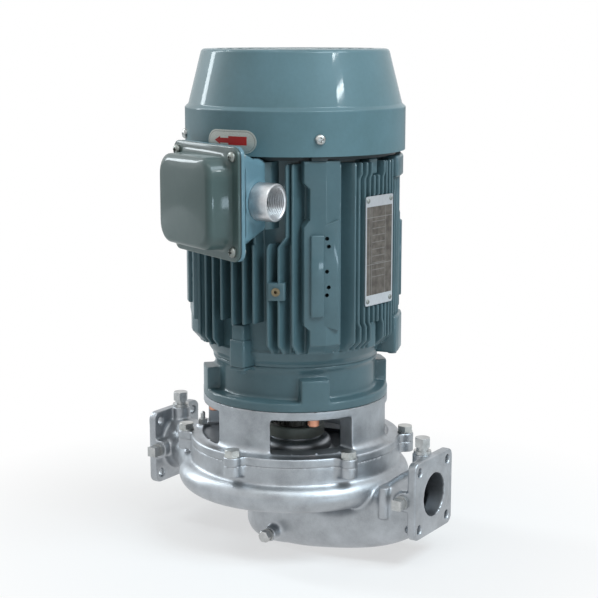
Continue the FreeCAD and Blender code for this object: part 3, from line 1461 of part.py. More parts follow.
def lid_frame(shape, depth):
    """Carry a piece built flat (XY plane, +Z outwards) to the lid plane, depth mm from the
    shaft axis."""
    copy = shape.copy()
    copy.rotate(ORIGIN, V(1, 0, 0), 90)
    copy.translate(V(lid_shift, -depth, box_height))
    return turn(copy, lid_azimuth)


def lid_screw_places():
    """The corners of the lid screw pattern."""
    return [(x, y) for x in (-lid_screw_spacing_x / 2, lid_screw_spacing_x / 2)
            for y in (-lid_screw_spacing_z / 2, lid_screw_spacing_z / 2)]


def box_rim_front():
    """Distance of the rim face of the box from the shaft axis."""
    return lid_distance - lid_rim_thickness - gasket_thickness


def box_plan(inset):
    """The corners of the box in plan, set in from the outside: the side wall with the conduit,
    the lid plane and the far side. Inside, the lid plane runs down to the back."""
    a = math.radians(lid_azimuth)
    normal = (math.sin(a), -math.cos(a))
    along = (math.cos(a), math.sin(a))
    depth = box_rim_front() - 1.0
    right = box_side_x - inset
    front_y = -(depth + normal[0] * -right) / math.cos(a)
    back = box_back_y - inset
    if inset > 0:
        far_x = (depth - normal[1] * -back) / normal[0]
        return [(right, back), (right, front_y), (far_x, back)]
    left_along = lid_shift - lid_width / 2 + 7.0
    left = (normal[0] * depth + along[0] * left_along, normal[1] * depth + along[1] * left_along)
    return [(right, back), (right, front_y), left, (left[0] + 3.0, back)]


def box_side_view(inset):
    """The box seen from the side: full height at the rim, tapering to its seat."""
    waist_y = -lid_distance - 3.0
    front_y = waist_y - 60.0
    back_y = box_back_y + 1.0
    top_y = -cover_radius - 3.0
    points = [(front_y, -box_bottom_reach + inset), (waist_y, -box_bottom_reach + inset),
              (back_y, -seat_half_height - 1.0 + inset), (back_y, box_top_back - inset),
              (top_y, box_top_back - inset), (waist_y, box_top_reach - inset),
              (front_y, box_top_reach - inset)]
    corners = [V(-200.0, y, box_height + z) for y, z in points]
    face = Part.Face(Part.makePolygon(corners + corners[:1]))
    return face.extrude(V(400.0, 0, 0))


def outer_edges(body):
    """The upper and lower edges of the box walls, away from its seat and its rim."""
    edges = []
    for edge in body.Edges:
        middle = edge.CenterOfMass
        level = abs(edge.tangentAt(edge.FirstParameter).z) < 0.9
        at_side = edge.BoundBox.XMin > box_side_x - 0.1
        if at_side and level and abs(middle.z - box_height) > 8.0:
            edges.append(edge)
    return edges


def terminal_box_base():
    """The wedge-shaped box cast with its rim, open to the lid and to the motor leads."""
    low = box_height - lid_height / 2
    high = box_height + lid_height / 2
    body = prism(box_plan(0.0), low, high).common(box_side_view(0.0))
    body = body.makeFillet(box_corner, outer_edges(body))
    rim = lid_frame(rounded_plate(lid_width, lid_height, box_rim_thickness, lid_corner),
                    box_rim_front() - box_rim_thickness)
    conduit_seat = Part.makeCylinder(conduit_outer + 2.0, 3.0, V(box_side_x - 2.0, conduit_y,
                                                                box_height), V(1, 0, 0))
    box = joined([body, rim, conduit_seat])
    inside = prism(box_plan(box_wall), low, high).common(box_side_view(box_wall))
    behind = block(-2 * pad_radius, 2 * pad_radius, box_back_y, 0, low - OUT, high + OUT)
    mouth = lid_frame(rounded_plate(lid_width - 2 * 12.0, lid_height - 2 * 11.0, 20.0, 12.0),
                      box_rim_front() - 12.0)
    lead = Part.makeCylinder(lead_hole_radius, 30.0, V(lead_x(), box_back_y - 20.0, box_height),
                             V(0, 1, 0))
    entry = Part.makeCylinder(conduit_inner + conduit_relief, 20.0,
                              V(box_side_x - 12.0, conduit_y, box_height), V(1, 0, 0))
    taps = [lid_frame(cylinder(m5_radius, -9.0, OUT, x, y), box_rim_front())
            for x, y in lid_screw_places()]
    screws = [Part.makeCylinder(m5_radius + 0.2, 10.0, V(x, box_back_y - 6.0, box_height + z),
                                V(0, 1, 0)) for x, z in box_screw_places()]
    return box.cut([behind, inside, mouth, lead, entry] + taps + screws)


def terminal_box_gasket():
    """The rubber gasket under the lid."""
    sheet = rounded_plate(lid_width - 1.0, lid_height - 1.0, gasket_thickness, lid_corner)
    hole = rounded_plate(lid_width - 24.0, lid_height - 22.0, 3.0, 12.0)
    hole.translate(V(0, 0, -1.0))
    holes = [cylinder(m5_radius + 0.3, -1, 3, x, y) for x, y in lid_screw_places()]
    return lid_frame(sheet.cut([hole] + holes), box_rim_front())


def dome(inset):
    """The raised middle of the lid, set in by inset, from the rim outwards."""
    width = lid_width - 2 * (dome_inset + inset)
    height = lid_height - 2 * (dome_inset - 2.0 + inset)
    depth = lid_rim_thickness + dome_depth - inset
    form = rounded_plate(width, height, depth, dome_corner - inset)
    front = [e for e in form.Edges if e.BoundBox.ZMin > depth - 0.01]
    return form.makeFillet(dome_edge - inset * 0.5, front)


def terminal_box_lid():
    """The pressed lid: a flat rim and a domed middle."""
    rim = rounded_plate(lid_width, lid_height, lid_rim_thickness, lid_corner)
    hollow = dome(dome_sheet)
    hollow.translate(V(0, 0, -0.01))
    holes = [cylinder(m5_radius + 0.3, -1, lid_rim_thickness + 1, x, y)
             for x, y in lid_screw_places()]
    lid = rim.fuse(dome(0.0)).cut([hollow] + holes)
    return lid_frame(lid, lid_distance - lid_rim_thickness)


def lid_screws():
    """The four pan-head screws of the lid."""
    screw = pan_screw(m5_radius, m5_head_radius, m5_head, pan_screw_length)
    return [lid_frame(placed(screw, V(x, y, 0), UP), lid_distance)
            for x, y in lid_screw_places()]


def conduit_socket():
    """The threaded conduit socket, bare aluminium, with its thread ridges."""
    start = box_side_x + 1.0
    tube = Part.makeCylinder(conduit_outer, conduit_length, V(start, conduit_y, box_height),
                             V(1, 0, 0))
    bore = Part.makeCylinder(conduit_inner, conduit_length + 2 * OUT,
                             V(start - OUT, conduit_y, box_height), V(1, 0, 0))
    return tube.cut(bore)


def terminal_block():
    """The moulded block that carries the six studs."""
    x = lead_x()
    y = box_back_y - box_wall
    width = 3 * terminal_pitch + 6.0
    half = terminal_row_pitch / 2 + 9.0
    base = block(x - width / 2, x + width / 2, y - 8.0, y, box_height - half, box_height + half)
    ribs = [block(x - 0.8 + s * terminal_pitch / 2, x + 0.8 + s * terminal_pitch / 2, y - 14.0,
                  y - 7.0, box_height - half, box_height + half) for s in (-3, -1, 1, 3)]
    window = Part.makeCylinder(6.0, 20.0, V(x, y + 2.0, box_height), FRONT)
    studs = [Part.makeCylinder(m5_radius, 30.0, V(sx, y + 2.0, sz), FRONT)
             for sx, sz in stud_places()]
    return joined([base] + ribs).cut([window] + studs)


def stud_places():
    """Places of the terminal studs as (x, z)."""
    x = lead_x()
    return [(x + i * terminal_pitch, box_height + s * terminal_row_pitch / 2)
            for i in (-1, 0, 1) for s in (-1, 1)]


def terminal_studs():
    """Brass studs with their nuts."""
    y = box_back_y - box_wall
    stud = cylinder(m5_radius, 0, stud_length).fuse(hexagon(8.0, 8.0, 12.0))
    return [placed(stud, V(x, y, z), FRONT) for x, z in stud_places()]


def box_screws():
    """The screws that hold the terminal box to the frame."""
    screw = pan_screw(m5_radius, m5_head_radius, m5_head, box_screw_length)
    return [placed(screw, V(x, box_back_y - box_wall, box_height + z), FRONT)
            for x, z in box_screw_places()]


def earth_screw():
    """The brass earth screw insert in its pad."""
    collar = cylinder(3.8, 0, 0.8).fuse(cylinder(m5_radius, -10.0, 0)).cut(
        cylinder(1.5, -4.0, 2.0))
    middle = V(0, -fin_tip_radius - 1.0, frame_bottom + earth_height_rise)
    return turn(placed(collar, middle, FRONT), earth_azimuth)


def main():
    os.makedirs("parts", exist_ok=True)
    seat = wear_ring_seat()
    save("volute_casing", [volute_casing().fuse(seat)])
    save("casing_wear_ring", [casing_wear_ring()])
    save("gauge_plugs", casing_plugs())
    save("square_plugs", square_plugs())
    save("drain_plug", [drain_plug()])
    save("casing_cover", [casing_cover()])
    save("casing_o_ring", [casing_o_ring()])
    save("seal_seat", [seal_seat()])
    save("seal_seat_cup", [seal_seat_cup()])
    save("seal_face_ring", [seal_face_ring()])
    save("seal_bellows", [seal_bellows()])
    save("seal_spring", [seal_spring()])
    save("seal_gland", [seal_gland()])
    save("bracket", [bracket()])
    save("air_vent", [air_vent()])
    save("casing_bolts", casing_bolts())
    save("casing_bolt_washers", casing_bolt_washers())
    save("motor_bolts", motor_bolts())
    save("impeller", [impeller()])
    save("impeller_key", [impeller_key()])
    save("impeller_washer", [impeller_washer()])
    save("impeller_nut", [impeller_nut()])
    save("motor_shaft", [motor_shaft()])
    save("shaft_collar", [shaft_collar()])
    save("rotor_core", [rotor_core()])
    save("rotor_end_rings", rotor_end_rings())
    for name, bottom in (("lower", lower_bearing), ("upper", upper_bearing)):
        save(name + "_bearing_outer_ring", [outer_race(bottom)])
        save(name + "_bearing_inner_ring", [inner_race(bottom)])
        save(name + "_bearing_balls", bearing_balls(bottom))
        save(name + "_bearing_cage", [ball_cage(bottom)])
    save("wave_washer", [wave_washer()])
    save("oil_seal", [oil_seal()])
    save("drive_shield", [drive_shield()])
    save("drive_shield_screws", lug_bolts())
    save("motor_frame", [motor_frame()])
    save("stator_core", [stator_core()])
    save("stator_windings", [stator_windings()])
    save("rear_shield", [rear_shield()])
    save("rear_shield_screws", rear_shield_screws())
    save("cooling_fan", [cooling_fan()])
    save("fan_circlip", [fan_circlip()])
    save("fan_cover", [fan_cover()])
    save("fan_cover_screws", fan_cover_screws())
    save("rotation_label", [rotation_label()])
    save("nameplate", [nameplate()])
    save("nameplate_rivets", nameplate_rivets())
    save("terminal_box_base", [terminal_box_base()])
    save("terminal_box_gasket", [terminal_box_gasket()])
    save("terminal_box_lid", [terminal_box_lid()])
    save("lid_screws", lid_screws())
    save("conduit_socket", [conduit_socket()])
    save("terminal_block", [terminal_block()])
    save("terminal_studs", terminal_studs())
    save("terminal_box_screws", box_screws())
    save("earth_screw", [earth_screw()])


main()
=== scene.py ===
# %% [markdown]
# # An in-line pump with its motor on end
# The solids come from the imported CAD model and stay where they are. This file gives them the looks of
# the real pump: blasted stainless castings, glossy enamel on a die-cast motor, bare aluminium, zinc and
# brass. Most pieces need only a finish. Pieces whose surface matters more than their solid, such as
# fins with a draft, are worked out again here with numpy and stand in for their solid.

# %% The frame
import json
import math
import bmesh
import bpy
import numpy as np
from mathutils import Matrix, Vector


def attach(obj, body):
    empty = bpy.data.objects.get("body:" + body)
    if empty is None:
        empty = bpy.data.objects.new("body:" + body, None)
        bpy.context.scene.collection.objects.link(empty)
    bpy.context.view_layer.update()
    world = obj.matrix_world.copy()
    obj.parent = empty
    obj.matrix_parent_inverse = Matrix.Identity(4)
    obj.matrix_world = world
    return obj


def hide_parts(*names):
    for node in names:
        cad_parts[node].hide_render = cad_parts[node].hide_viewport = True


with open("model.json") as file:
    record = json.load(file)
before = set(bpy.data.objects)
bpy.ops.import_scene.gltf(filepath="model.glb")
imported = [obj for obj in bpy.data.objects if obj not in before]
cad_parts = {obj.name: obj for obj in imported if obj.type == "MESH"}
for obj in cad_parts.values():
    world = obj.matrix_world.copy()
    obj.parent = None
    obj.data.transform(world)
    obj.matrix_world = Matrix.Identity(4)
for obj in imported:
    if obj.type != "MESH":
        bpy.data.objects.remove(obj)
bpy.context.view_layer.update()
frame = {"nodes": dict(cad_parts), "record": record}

# %% [markdown]
# The CAD file works in millimetres and so does this one, up to the moment when points become a mesh.
# Heights are counted from the flat foot of the casing, and azimuths in degrees from the front (-Y)
# towards +X, as in the CAD.

# %% The unit
MM = 0.001
print("one unit is", MM, "m")

# %% [markdown]
# ## Turning arrays into pieces
# A mesh is a list of points and a list of faces. It could be drawn by hand or built from primitives,
# but here every shape is an array of points on a grid, so that a size is one number in one place.
# Rows are joined to rows, and a closed row joins its end to its start.

# %% Grids and meshes
def grid_quads(rows, columns, closed_rows=False):
    """Faces of a grid numbered row by row: corner (i, j) is point i * columns + j. Columns are
    closed on themselves."""
    i, j = np.meshgrid(np.arange(rows if closed_rows else rows - 1), np.arange(columns), indexing="ij")
    up, right = (i + 1) % rows, (j + 1) % columns
    corners = (i * columns + j, i * columns + right, up * columns + right, up * columns + j)
    return np.stack(corners, -1).reshape(-1, 4)


def gathered(parts):
    """Several (points, faces) pairs as one, the face numbers moved up by the points before them."""
    points, faces, start = [], [], 0
    for part_points, part_faces in parts:
        points.append(np.asarray(part_points, float).reshape(-1, 3))
        faces += [[int(v) + start for v in face] for face in part_faces]
        start += len(points[-1])
    return np.concatenate(points), faces


def cleaned(mesh, join=None, turn=True):
    """A mesh, its points closer than a distance joined and its normals turned outwards if asked."""
    work = bmesh.new()
    work.from_mesh(mesh)
    if join:
        bmesh.ops.remove_doubles(work, verts=work.verts, dist=join)
    if turn:
        bmesh.ops.recalc_face_normals(work, faces=work.faces)
    work.to_mesh(mesh)
    work.free()
    return mesh


def mesh_of(name, points, faces, join=None):
    """A clean mesh of points and faces."""
    mesh = bpy.data.meshes.new(name)
    mesh.from_pydata(points.tolist(), [], faces)
    return cleaned(mesh, join)


print("a closed band of 4 by 6 points has", len(grid_quads(4, 6)), "faces")


# %% Objects and pieces
def linked(name, data):
    """An object with some data, put into the scene."""
    thing = bpy.data.objects.new(name, data)
    bpy.context.scene.collection.objects.link(thing)
    return thing


def dressed(name, mesh, material, smooth, node):
    """The object of a mesh, shaded smooth except at edges sharper than an angle. It belongs to the
    still body and stands for a node of the CAD."""
    thing = linked(name, mesh)
    mesh.materials.clear()
    mesh.materials.append(material)
    mesh.polygons.foreach_set("use_smooth", np.ones(len(mesh.polygons), bool))
    mesh.set_sharp_from_angle(angle=math.radians(smooth))
    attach(thing, "root")
    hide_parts(node)
    print(f"{name}: {len(mesh.vertices)} points, {len(mesh.polygons)} faces")
    return thing


def piece(name, parts, material, node):
    """A finished piece in metres from parts in millimetres."""
    points, faces = gathered(parts)
    return dressed(name, mesh_of(name, points * MM, faces, join=1e-6), material, 40.0, node)


# %% [markdown]
# ## Outlines with round corners
# Nothing cast, pressed or turned has a corner without a radius, and the bright line along an edge is
# what makes metal look like metal. A Bevel modifier would give all edges one radius. Here outlines are
# typed with sharp corners and a helper rounds each corner with an arc of its own radius.

# %% Rounding corners
def rounded(corners, radii, steps=5, closed=True):
    """A polygon whose corners are arcs. An arc of radius r starts r * tan(turn / 2) before its
    corner, and its points sweep from one side's normal to the other's."""
    corners = np.asarray(corners, float)
    radii = np.broadcast_to(np.asarray(radii, float), len(corners))
    points = []
    for k, (corner, radius) in enumerate(zip(corners, radii)):
        if not closed and k in (0, len(corners) - 1):
            points.append(corner[None])
            continue
        before = corners[k - 1] - corner
        after = corners[(k + 1) % len(corners)] - corner
        u, v = before / np.linalg.norm(before), after / np.linalg.norm(after)
        half = math.acos(np.clip(u @ v, -1, 1)) / 2
        if radius <= 0 or abs(half - math.pi / 2) < 1e-4:
            points.append(corner[None])
            continue
        reach = radius / math.tan(half)
        centre = corner + (u + v) / np.linalg.norm(u + v) * radius / math.sin(half)
        start, end = corner + u * reach - centre, corner + v * reach - centre
        angle = math.pi - 2 * half
        t = np.linspace(0, 1, steps)[:, None]
        arc = (np.sin((1 - t) * angle) * start + np.sin(t * angle) * end) / math.sin(angle)
        points.append(centre + arc)
    return np.concatenate(points)


print("a square with round corners has", len(rounded([(0, 0), (9, 0), (9, 9), (0, 9)], 2)), "points")


# %% Solids from outlines
def ring_grid(profile, columns):
    """A profile of (r, z) points carried round the shaft axis: x = r sin a, y = -r cos a."""
    a = np.linspace(0, 2 * math.pi, columns, endpoint=False)
    r, z = profile[:, :1], profile[:, 1:]
    return np.stack([r * np.sin(a), -r * np.cos(a), z + 0 * a], -1)


def turned(profile, columns):
    """The solid that a closed profile sweeps round the shaft axis."""
    return ring_grid(profile, columns).reshape(-1, 3), grid_quads(len(profile), columns, closed_rows=True)


def carried(loops):
    """A stack of closed loops joined into a tube and shut at both ends by flat faces."""
    loops = np.asarray(loops, float)
    rows, columns = loops.shape[:2]
    faces = [list(q) for q in grid_quads(rows, columns)]
    faces.append(list(range(columns))[::-1])
    faces.append(list(range((rows - 1) * columns, rows * columns)))
    return loops.reshape(-1, 3), faces


def inset_outline(corners, by):
    """The corners of a polygon, anticlockwise, with each side moved inwards by a distance."""
    corners = np.asarray(corners, float)
    sides = np.roll(corners, -1, 0) - corners
    normals = np.stack([-sides[:, 1], sides[:, 0]], 1) / np.linalg.norm(sides, axis=1)[:, None]
    before = np.roll(normals, 1, 0)
    joint = before + normals
    return corners + joint * by / (1 + (before * normals).sum(1))[:, None]


def rectangle(left, right, front, back):
    """The corners of an upright block's outline."""
    return [(left, front), (right, front), (right, back), (left, back)]


def pad_block(corners, low, high, edge, corner):
    """An upright block on a polygon, with round corners and round upper and lower edges: at angle
    a of an edge the outline is drawn in by edge * (1 - sin a)."""
    a = np.linspace(0, math.pi / 2, 4)
    insets = np.concatenate([edge * (1 - np.sin(a)), edge * (1 - np.cos(a))])
    heights = np.concatenate([low + edge * (1 - np.cos(a)), high - edge * (1 - np.sin(a))])
    loops = []
    for inset, height in zip(insets, heights):
        outline = rounded(inset_outline(corners, inset), max(corner - inset * 0.5, 0.2), 4)
        loops.append(np.column_stack([outline, np.full(len(outline), height)]))
    return carried(loops)


print("a block on 4 corners has", len(pad_block(rectangle(0, 9, 0, 9), 0, 9, 1.0, 1.5)[1]), "faces")


# %% Moving solids
def around(part, azimuth):
    """A part made at the front, carried round the shaft axis to an azimuth."""
    points, faces = part
    a = math.radians(azimuth)
    x, y, z = np.asarray(points, float).reshape(-1, 3).T
    return np.stack([x * math.cos(a) - y * math.sin(a), x * math.sin(a) + y * math.cos(a), z], 1), faces


print("a part carried by 90 degrees is at", around(([(0, -1, 0)], []), 90)[0].round(3).tolist())

# %% [markdown]
# ## Shader maths as expressions
# A procedural finish is a formula over the surface. It could be wired by hand in the shader editor.
# Wrapping a socket in a small class lets it be written as Python, each operator adding its Math node.

# %% Expressions on sockets
class Value:
    """A number or colour that varies over the surface: a socket in its node tree."""

    def __init__(self, nodes, socket):
        self.nodes, self.socket = nodes, socket

    def math(self, operation, *others):
        """One Math node with this value first."""
        return self.nodes.add("ShaderNodeMath", {"operation": operation}, self, *others)

    def __add__(self, other): return self.math("ADD", other)
    def __radd__(self, other): return self.math("ADD", other)
    def __sub__(self, other): return self.math("SUBTRACT", other)
    def __rsub__(self, other): return self * -1.0 + other
    def __mul__(self, other): return self.math("MULTIPLY", other)
    def __rmul__(self, other): return self.math("MULTIPLY", other)
    def __truediv__(self, other): return self.math("DIVIDE", other)
    def above(self, level): return self.math("GREATER_THAN", level)
    def below(self, level): return self.math("LESS_THAN", level)
    def within(self, low, high): return self.above(low) * self.below(high)
    def near(self, place, reach): return (self - place).size().below(reach)
    def size(self): return self.math("ABSOLUTE")
    def sine(self): return self.math("SINE")
    def root(self): return self.math("SQRT")
    def clipped(self): return self.math("MINIMUM", 1.0).math("MAXIMUM", 0.0)
    def step(self, low, high): return ((self - low) / (high - low)).clipped()


class Nodes:
    """A node tree being written, with the one method that adds nodes."""

    def __init__(self, tree):
        self.tree = tree

    def add(self, kind, settings=None, *inputs, out=0, **named):
        """One node: its settings first, then the values or links of its sockets, by place or by
        name. None leaves a socket as it is. Returns one of its outputs."""
        node = self.tree.nodes.new(kind)
        for key, value in (settings or {}).items():
            setattr(node, key, value)
        pairs = list(enumerate(inputs)) + [(k.replace("_", " "), v) for k, v in named.items()]
        for socket, value in pairs:
            if isinstance(value, Value):
                self.tree.links.new(value.socket, node.inputs[socket])
            elif value is not None:
                node.inputs[socket].default_value = value
        return Value(self, node.outputs[out])

    def place(self, scale=(1, 1, 1)):
        """The point on the piece, stretched by a scale."""
        return self.add("ShaderNodeMapping", None, self.add("ShaderNodeTexCoord", out="Object"), Scale=scale)

    def noise(self, size, detail=3.0, rough=0.5, scale=(1, 1, 1)):
        """Soft random blotches whose size is given in metres."""
        return self.add("ShaderNodeTexNoise", None, self.place(scale), Scale=1.0 / size, Detail=detail,
                        Roughness=rough, out="Fac")

    def axes(self):
        """The three coordinates of the point as numbers."""
        split = self.add("ShaderNodeSeparateXYZ", None, self.add("ShaderNodeTexCoord", out="Object"))
        return [Value(self, output) for output in split.socket.node.outputs]

    def ray(self, kind):
        """1 where the ray that asks is of a kind, such as Camera, and 0 elsewhere."""
        return self.add("ShaderNodeLightPath", out=f"Is {kind} Ray")

    def mixed(self, factor, first, second):
        """A colour between two. A Mix node takes colours at sockets 6 and 7 and gives output 2."""
        return self.add("ShaderNodeMix", {"data_type": "RGBA"}, factor, *[None] * 5, first, second, out=2)


class Paint(Nodes):
    """A material being mixed: its node tree and its Principled shader."""

    def __init__(self, name, **constants):
        self.material = bpy.data.materials.new(name)
        self.material.use_nodes = True
        super().__init__(self.material.node_tree)
        self.shader = self.tree.nodes["Principled BSDF"]
        for socket, value in constants.items():
            self.shader.inputs[socket.replace("_", " ")].default_value = value

    def shades(self, noise, dark, light):
        """A colour that goes from dark to light while a noise goes from 0.3 to 0.7."""
        return self.mixed(noise.step(0.3, 0.7), linear(*dark), linear(*light))

    def set(self, **sockets):
        """Link values to sockets of the shader."""
        for name, value in sockets.items():
            self.tree.links.new(value.socket, self.shader.inputs[name.replace("_", " ")])
        return self

    def bump(self, height, distance, strength=1.0):
        """Feed a height in metres to the shader's normal."""
        relief = self.add("ShaderNodeBump", None, Strength=strength, Distance=distance, Height=height)
        return self.set(Normal=relief)


def linear(r, g, b):
    """A colour picked on a screen, 0 to 255, as the linear light that a shader wants."""
    c = np.array([r, g, b], float) / 255
    return (*np.where(c <= 0.04045, c / 12.92, ((c + 0.055) / 1.055) ** 2.4), 1.0)


print("a screen grey of 128 is", round(linear(128, 128, 128)[0], 3), "of full light")

# %% [markdown]
# ## The finishes
# The motor is sprayed with a grey-green enamel that dries glossy, with the faint orange peel of a spray
# gun. One flat colour would look like plastic. It is a coloured base under a clear coat, and its colour
# drifts a little where the coat lies thick. Frame, cover, box and lid are one enamel in lit and shaded
# copies: frame, lid and rear shield darker for painted shade, the box lighter and bluer for painted light.

# %% Motor enamel
def motor_enamel(name, dark, light):
    """Colour: four parts of slow noise and one of fine noise. Relief: swell plus a little peel."""
    paint = Paint(name, Roughness=0.45, Coat_Weight=0.4, Coat_Roughness=0.06, Specular_IOR_Level=0.25)
    drift = paint.noise(0.045, detail=2)
    fine = paint.noise(0.004, detail=2)
    peel = paint.noise(0.0022, detail=1)
    swell = paint.noise(0.012, detail=1)
    paint.set(Base_Color=paint.shades(drift * 0.8 + fine * 0.2, dark, light))
    return paint.bump(peel * 0.35 + swell, 0.00022, 0.35).material


# The tone of the frame and drive shield is a darker copy of the cover's enamel: painted shade.
enamel = motor_enamel("shaded_frame_enamel", (72, 97, 103), (82, 108, 115))
hood_enamel = motor_enamel("hood_enamel", (86, 115, 121), (96, 127, 135))
# The box tone is a lit copy of the enamel: lighter and bluer, painted light from the right.
box_enamel = motor_enamel("box_enamel", (98, 130, 142), (108, 142, 154))
# The lid tone is a darker copy of the enamel: painted shade on the lid face.
lid_enamel = motor_enamel("lid_enamel", (68, 86, 84), (76, 94, 92))
# A much darker copy of the enamel for the rear shield: painted shade inside the fan cover.
inner_enamel = motor_enamel("inner_enamel", (34, 46, 49), (42, 55, 58))
print("enamels", [m.name for m in bpy.data.materials if m.name.endswith("enamel")])

# %% [markdown]
# The pump end is cast stainless steel, pickled and blasted: a soft, slightly mottled silver, with a
# fine grain where shot has struck it. Polished steel would mirror the lamps as sharp streaks. Blasting
# makes it scatter, so its roughness is high for a metal and wanders with the mottling. The shaft is
# turned instead, which leaves rings of fine grooves about its axis.

# %% Cast and turned stainless steel
def cast_stainless():
    """Tone: clouds, shot grain and stains added up. Relief: shot grain on slow waves."""
    paint = Paint("cast_stainless", Metallic=1.0)
    clouds = paint.noise(0.018, detail=4, rough=0.6)
    grain = paint.noise(0.0011, detail=3, rough=0.7)
    stain = paint.noise(0.05, detail=3)
    tone = (clouds * 0.6 + grain * 0.25 + stain * 0.3).step(0.35, 0.8)
    paint.set(Base_Color=paint.mixed(tone, linear(138, 142, 146), linear(182, 187, 192)),
              Roughness=clouds * 0.16 + grain * 0.1 + 0.29)
    wave = paint.noise(0.009, detail=2)
    return paint.bump(grain * 0.5 + wave, 0.00028, 0.5).material


def machined_stainless():
    """Turned steel. Relief: the sine of the distance from the shaft axis, a groove each 0.45 mm."""
    paint = Paint("machined_steel", Metallic=1.0)
    x, y, z = paint.axes()
    rings = ((x * x + y * y).root() * (2 * math.pi / 0.00045)).sine()
    cloud = paint.noise(0.02, detail=3)
    paint.set(Base_Color=paint.shades(cloud, (160, 161, 162), (188, 189, 190)),
              Roughness=cloud * 0.12 + rings * 0.03 + 0.26)
    return paint.bump(rings * 0.5 + cloud, 0.00003, 0.5).material


stainless, machined = cast_stainless(), machined_stainless()
print("steels", stainless.name, machined.name)

# %% [markdown]
# Screws are zinc plated, the socket is bare aluminium, terminals and the earth screw are brass. They
# differ in colour, in how sharply they reflect and in their grain, so one function makes them all.

# %% Plated, bare and dark metals
def plain_metal(name, dark, light, rough, grain=0.002, relief=0.00003, stretch=(1, 1, 1)):
    """A metal whose tone and roughness wander between two values."""
    paint = Paint(name, Metallic=1.0)
    cloud = paint.noise(grain * 6, detail=4, rough=0.6)
    fine = paint.noise(grain, detail=3, rough=0.6, scale=stretch)
    paint.set(Base_Color=paint.shades(cloud * 0.7 + fine * 0.3, dark, light),
              Roughness=fine * 0.12 + cloud * 0.08 + rough)
    return paint.bump(fine, relief, 0.6).material


zinc = plain_metal("zinc_plate", (150, 152, 150), (206, 208, 206), 0.2)
aluminium = plain_metal("bare_aluminium", (192, 193, 195), (226, 227, 229), 0.3, 0.0012, 0.00008)
brass = plain_metal("brass", (150, 122, 62), (196, 164, 92), 0.26)
plug_steel = plain_metal("plug_steel", (158, 160, 160), (204, 206, 206), 0.28, 0.0015, 0.0001)
dark_steel = plain_metal("blackened_steel", (52, 52, 50), (84, 84, 80), 0.36)
bearing_steel = plain_metal("bearing_steel", (176, 178, 180), (214, 216, 218), 0.12)
copper = plain_metal("enamelled_copper", (150, 84, 46), (196, 118, 74), 0.32, stretch=(1, 1, 8))
earth_brass = plain_metal("earth_brass", (112, 102, 82), (152, 140, 114), 0.36, 0.001, 0.00006)
bolt_copper = plain_metal("copper_plate", (196, 138, 112), (222, 166, 140), 0.42)
dull_zinc = plain_metal("dull_zinc", (112, 116, 112), (158, 162, 158), 0.3)
print("materials so far", len(bpy.data.materials))

# %% [markdown]
# Rubber, plastic, ceramic and carbon sit inside. A plain colour would do for pieces that are hidden,
# but someone may open the pump, so they get a grain and a little unevenness too.

# %% Rubber, plastic and ceramic
def plain_solid(name, dark, light, rough, grain=0.003, relief=0.00005):
    """A non-metal whose tone and roughness wander between two values."""
    paint = Paint(name)
    cloud = paint.noise(grain * 5, detail=3)
    fine = paint.noise(grain, detail=3)
    paint.set(Base_Color=paint.shades(cloud * 0.6 + fine * 0.4, dark, light),
              Roughness=fine * 0.15 + rough)
    return paint.bump(fine, relief, 0.5).material


rubber = plain_solid("black_rubber", (22, 22, 22), (38, 38, 37), 0.6, 0.0015)
plastic = plain_solid("black_plastic", (24, 24, 25), (40, 40, 42), 0.4, 0.001)
carbon = plain_solid("seal_carbon", (34, 34, 36), (52, 52, 54), 0.25)
ceramic = plain_solid("seal_ceramic", (222, 218, 206), (236, 232, 222), 0.2)
# The seal gland is painted paler than its grey steel: painted light that brightens it in the shade of the
# window.
gland_grey = plain_solid("gland_grey", (150, 156, 148), (176, 181, 172), 0.3, 0.004)
print("materials so far", len(bpy.data.materials))

# %% [markdown]
# ## Two printed plates
# The fan cover has a foil label with the arrow of rotation, and the frame has a rating plate, etched
# dark between two bare ends. Prints like these are often pictures. Here they are formulas over the
# place on the plate, which stay sharp at any distance and need no file.

# %% The label with the arrow
LABEL_SHIFT, LABEL_HEIGHT = -1.59, 383.1


def arrow_label():
    """Silver foil with a red arrow: red where |up| is less than the arrow's half-height, which
    grows over the head, is small in the shaft and larger in the block behind it. A thin outline
    runs 8.3 to 8.9 from the straight middle line of the foil."""
    paint = Paint("arrow_label")
    x, y, z = paint.axes()
    rise = 0.8
    across, up = x / MM - LABEL_SHIFT, z / MM - (LABEL_HEIGHT + rise)
    tip, neck, shoulder, end = -17.9, -11.0, -2.0, 16.7
    head = across.step(tip, neck) * across.below(neck) * 3.7
    shaft, block = across.within(neck, shoulder) * 2.3, across.within(shoulder, end) * 3.9
    red = ((head + shaft + block - up.size()) / 0.25).clipped()
    past_middle, lift = (across.size() - 15.6).math("MAXIMUM", 0.0), up + rise
    outline = (past_middle * past_middle + lift * lift).root().within(8.3, 8.9)
    grain = paint.noise(0.0012, detail=3, scale=(1, 1, 6))
    sheet = paint.shades(grain, (168, 172, 166), (196, 200, 194))
    lined = paint.mixed(outline * 0.6, sheet, linear(96, 98, 94))
    paint.set(Base_Color=paint.mixed(red, lined, linear(176, 30, 26)), Metallic=0.75 - red * 0.7,
              Roughness=grain * 0.1 + 0.32)
    return paint.bump(grain, 0.00003, 0.5).material


arrow_foil = arrow_label()
print("label", arrow_foil.name, "with", len(arrow_foil.node_tree.nodes), "nodes")

# %% The rating plate
PLATE_AZIMUTH, PLATE_HEIGHT = 84.0, 284.8


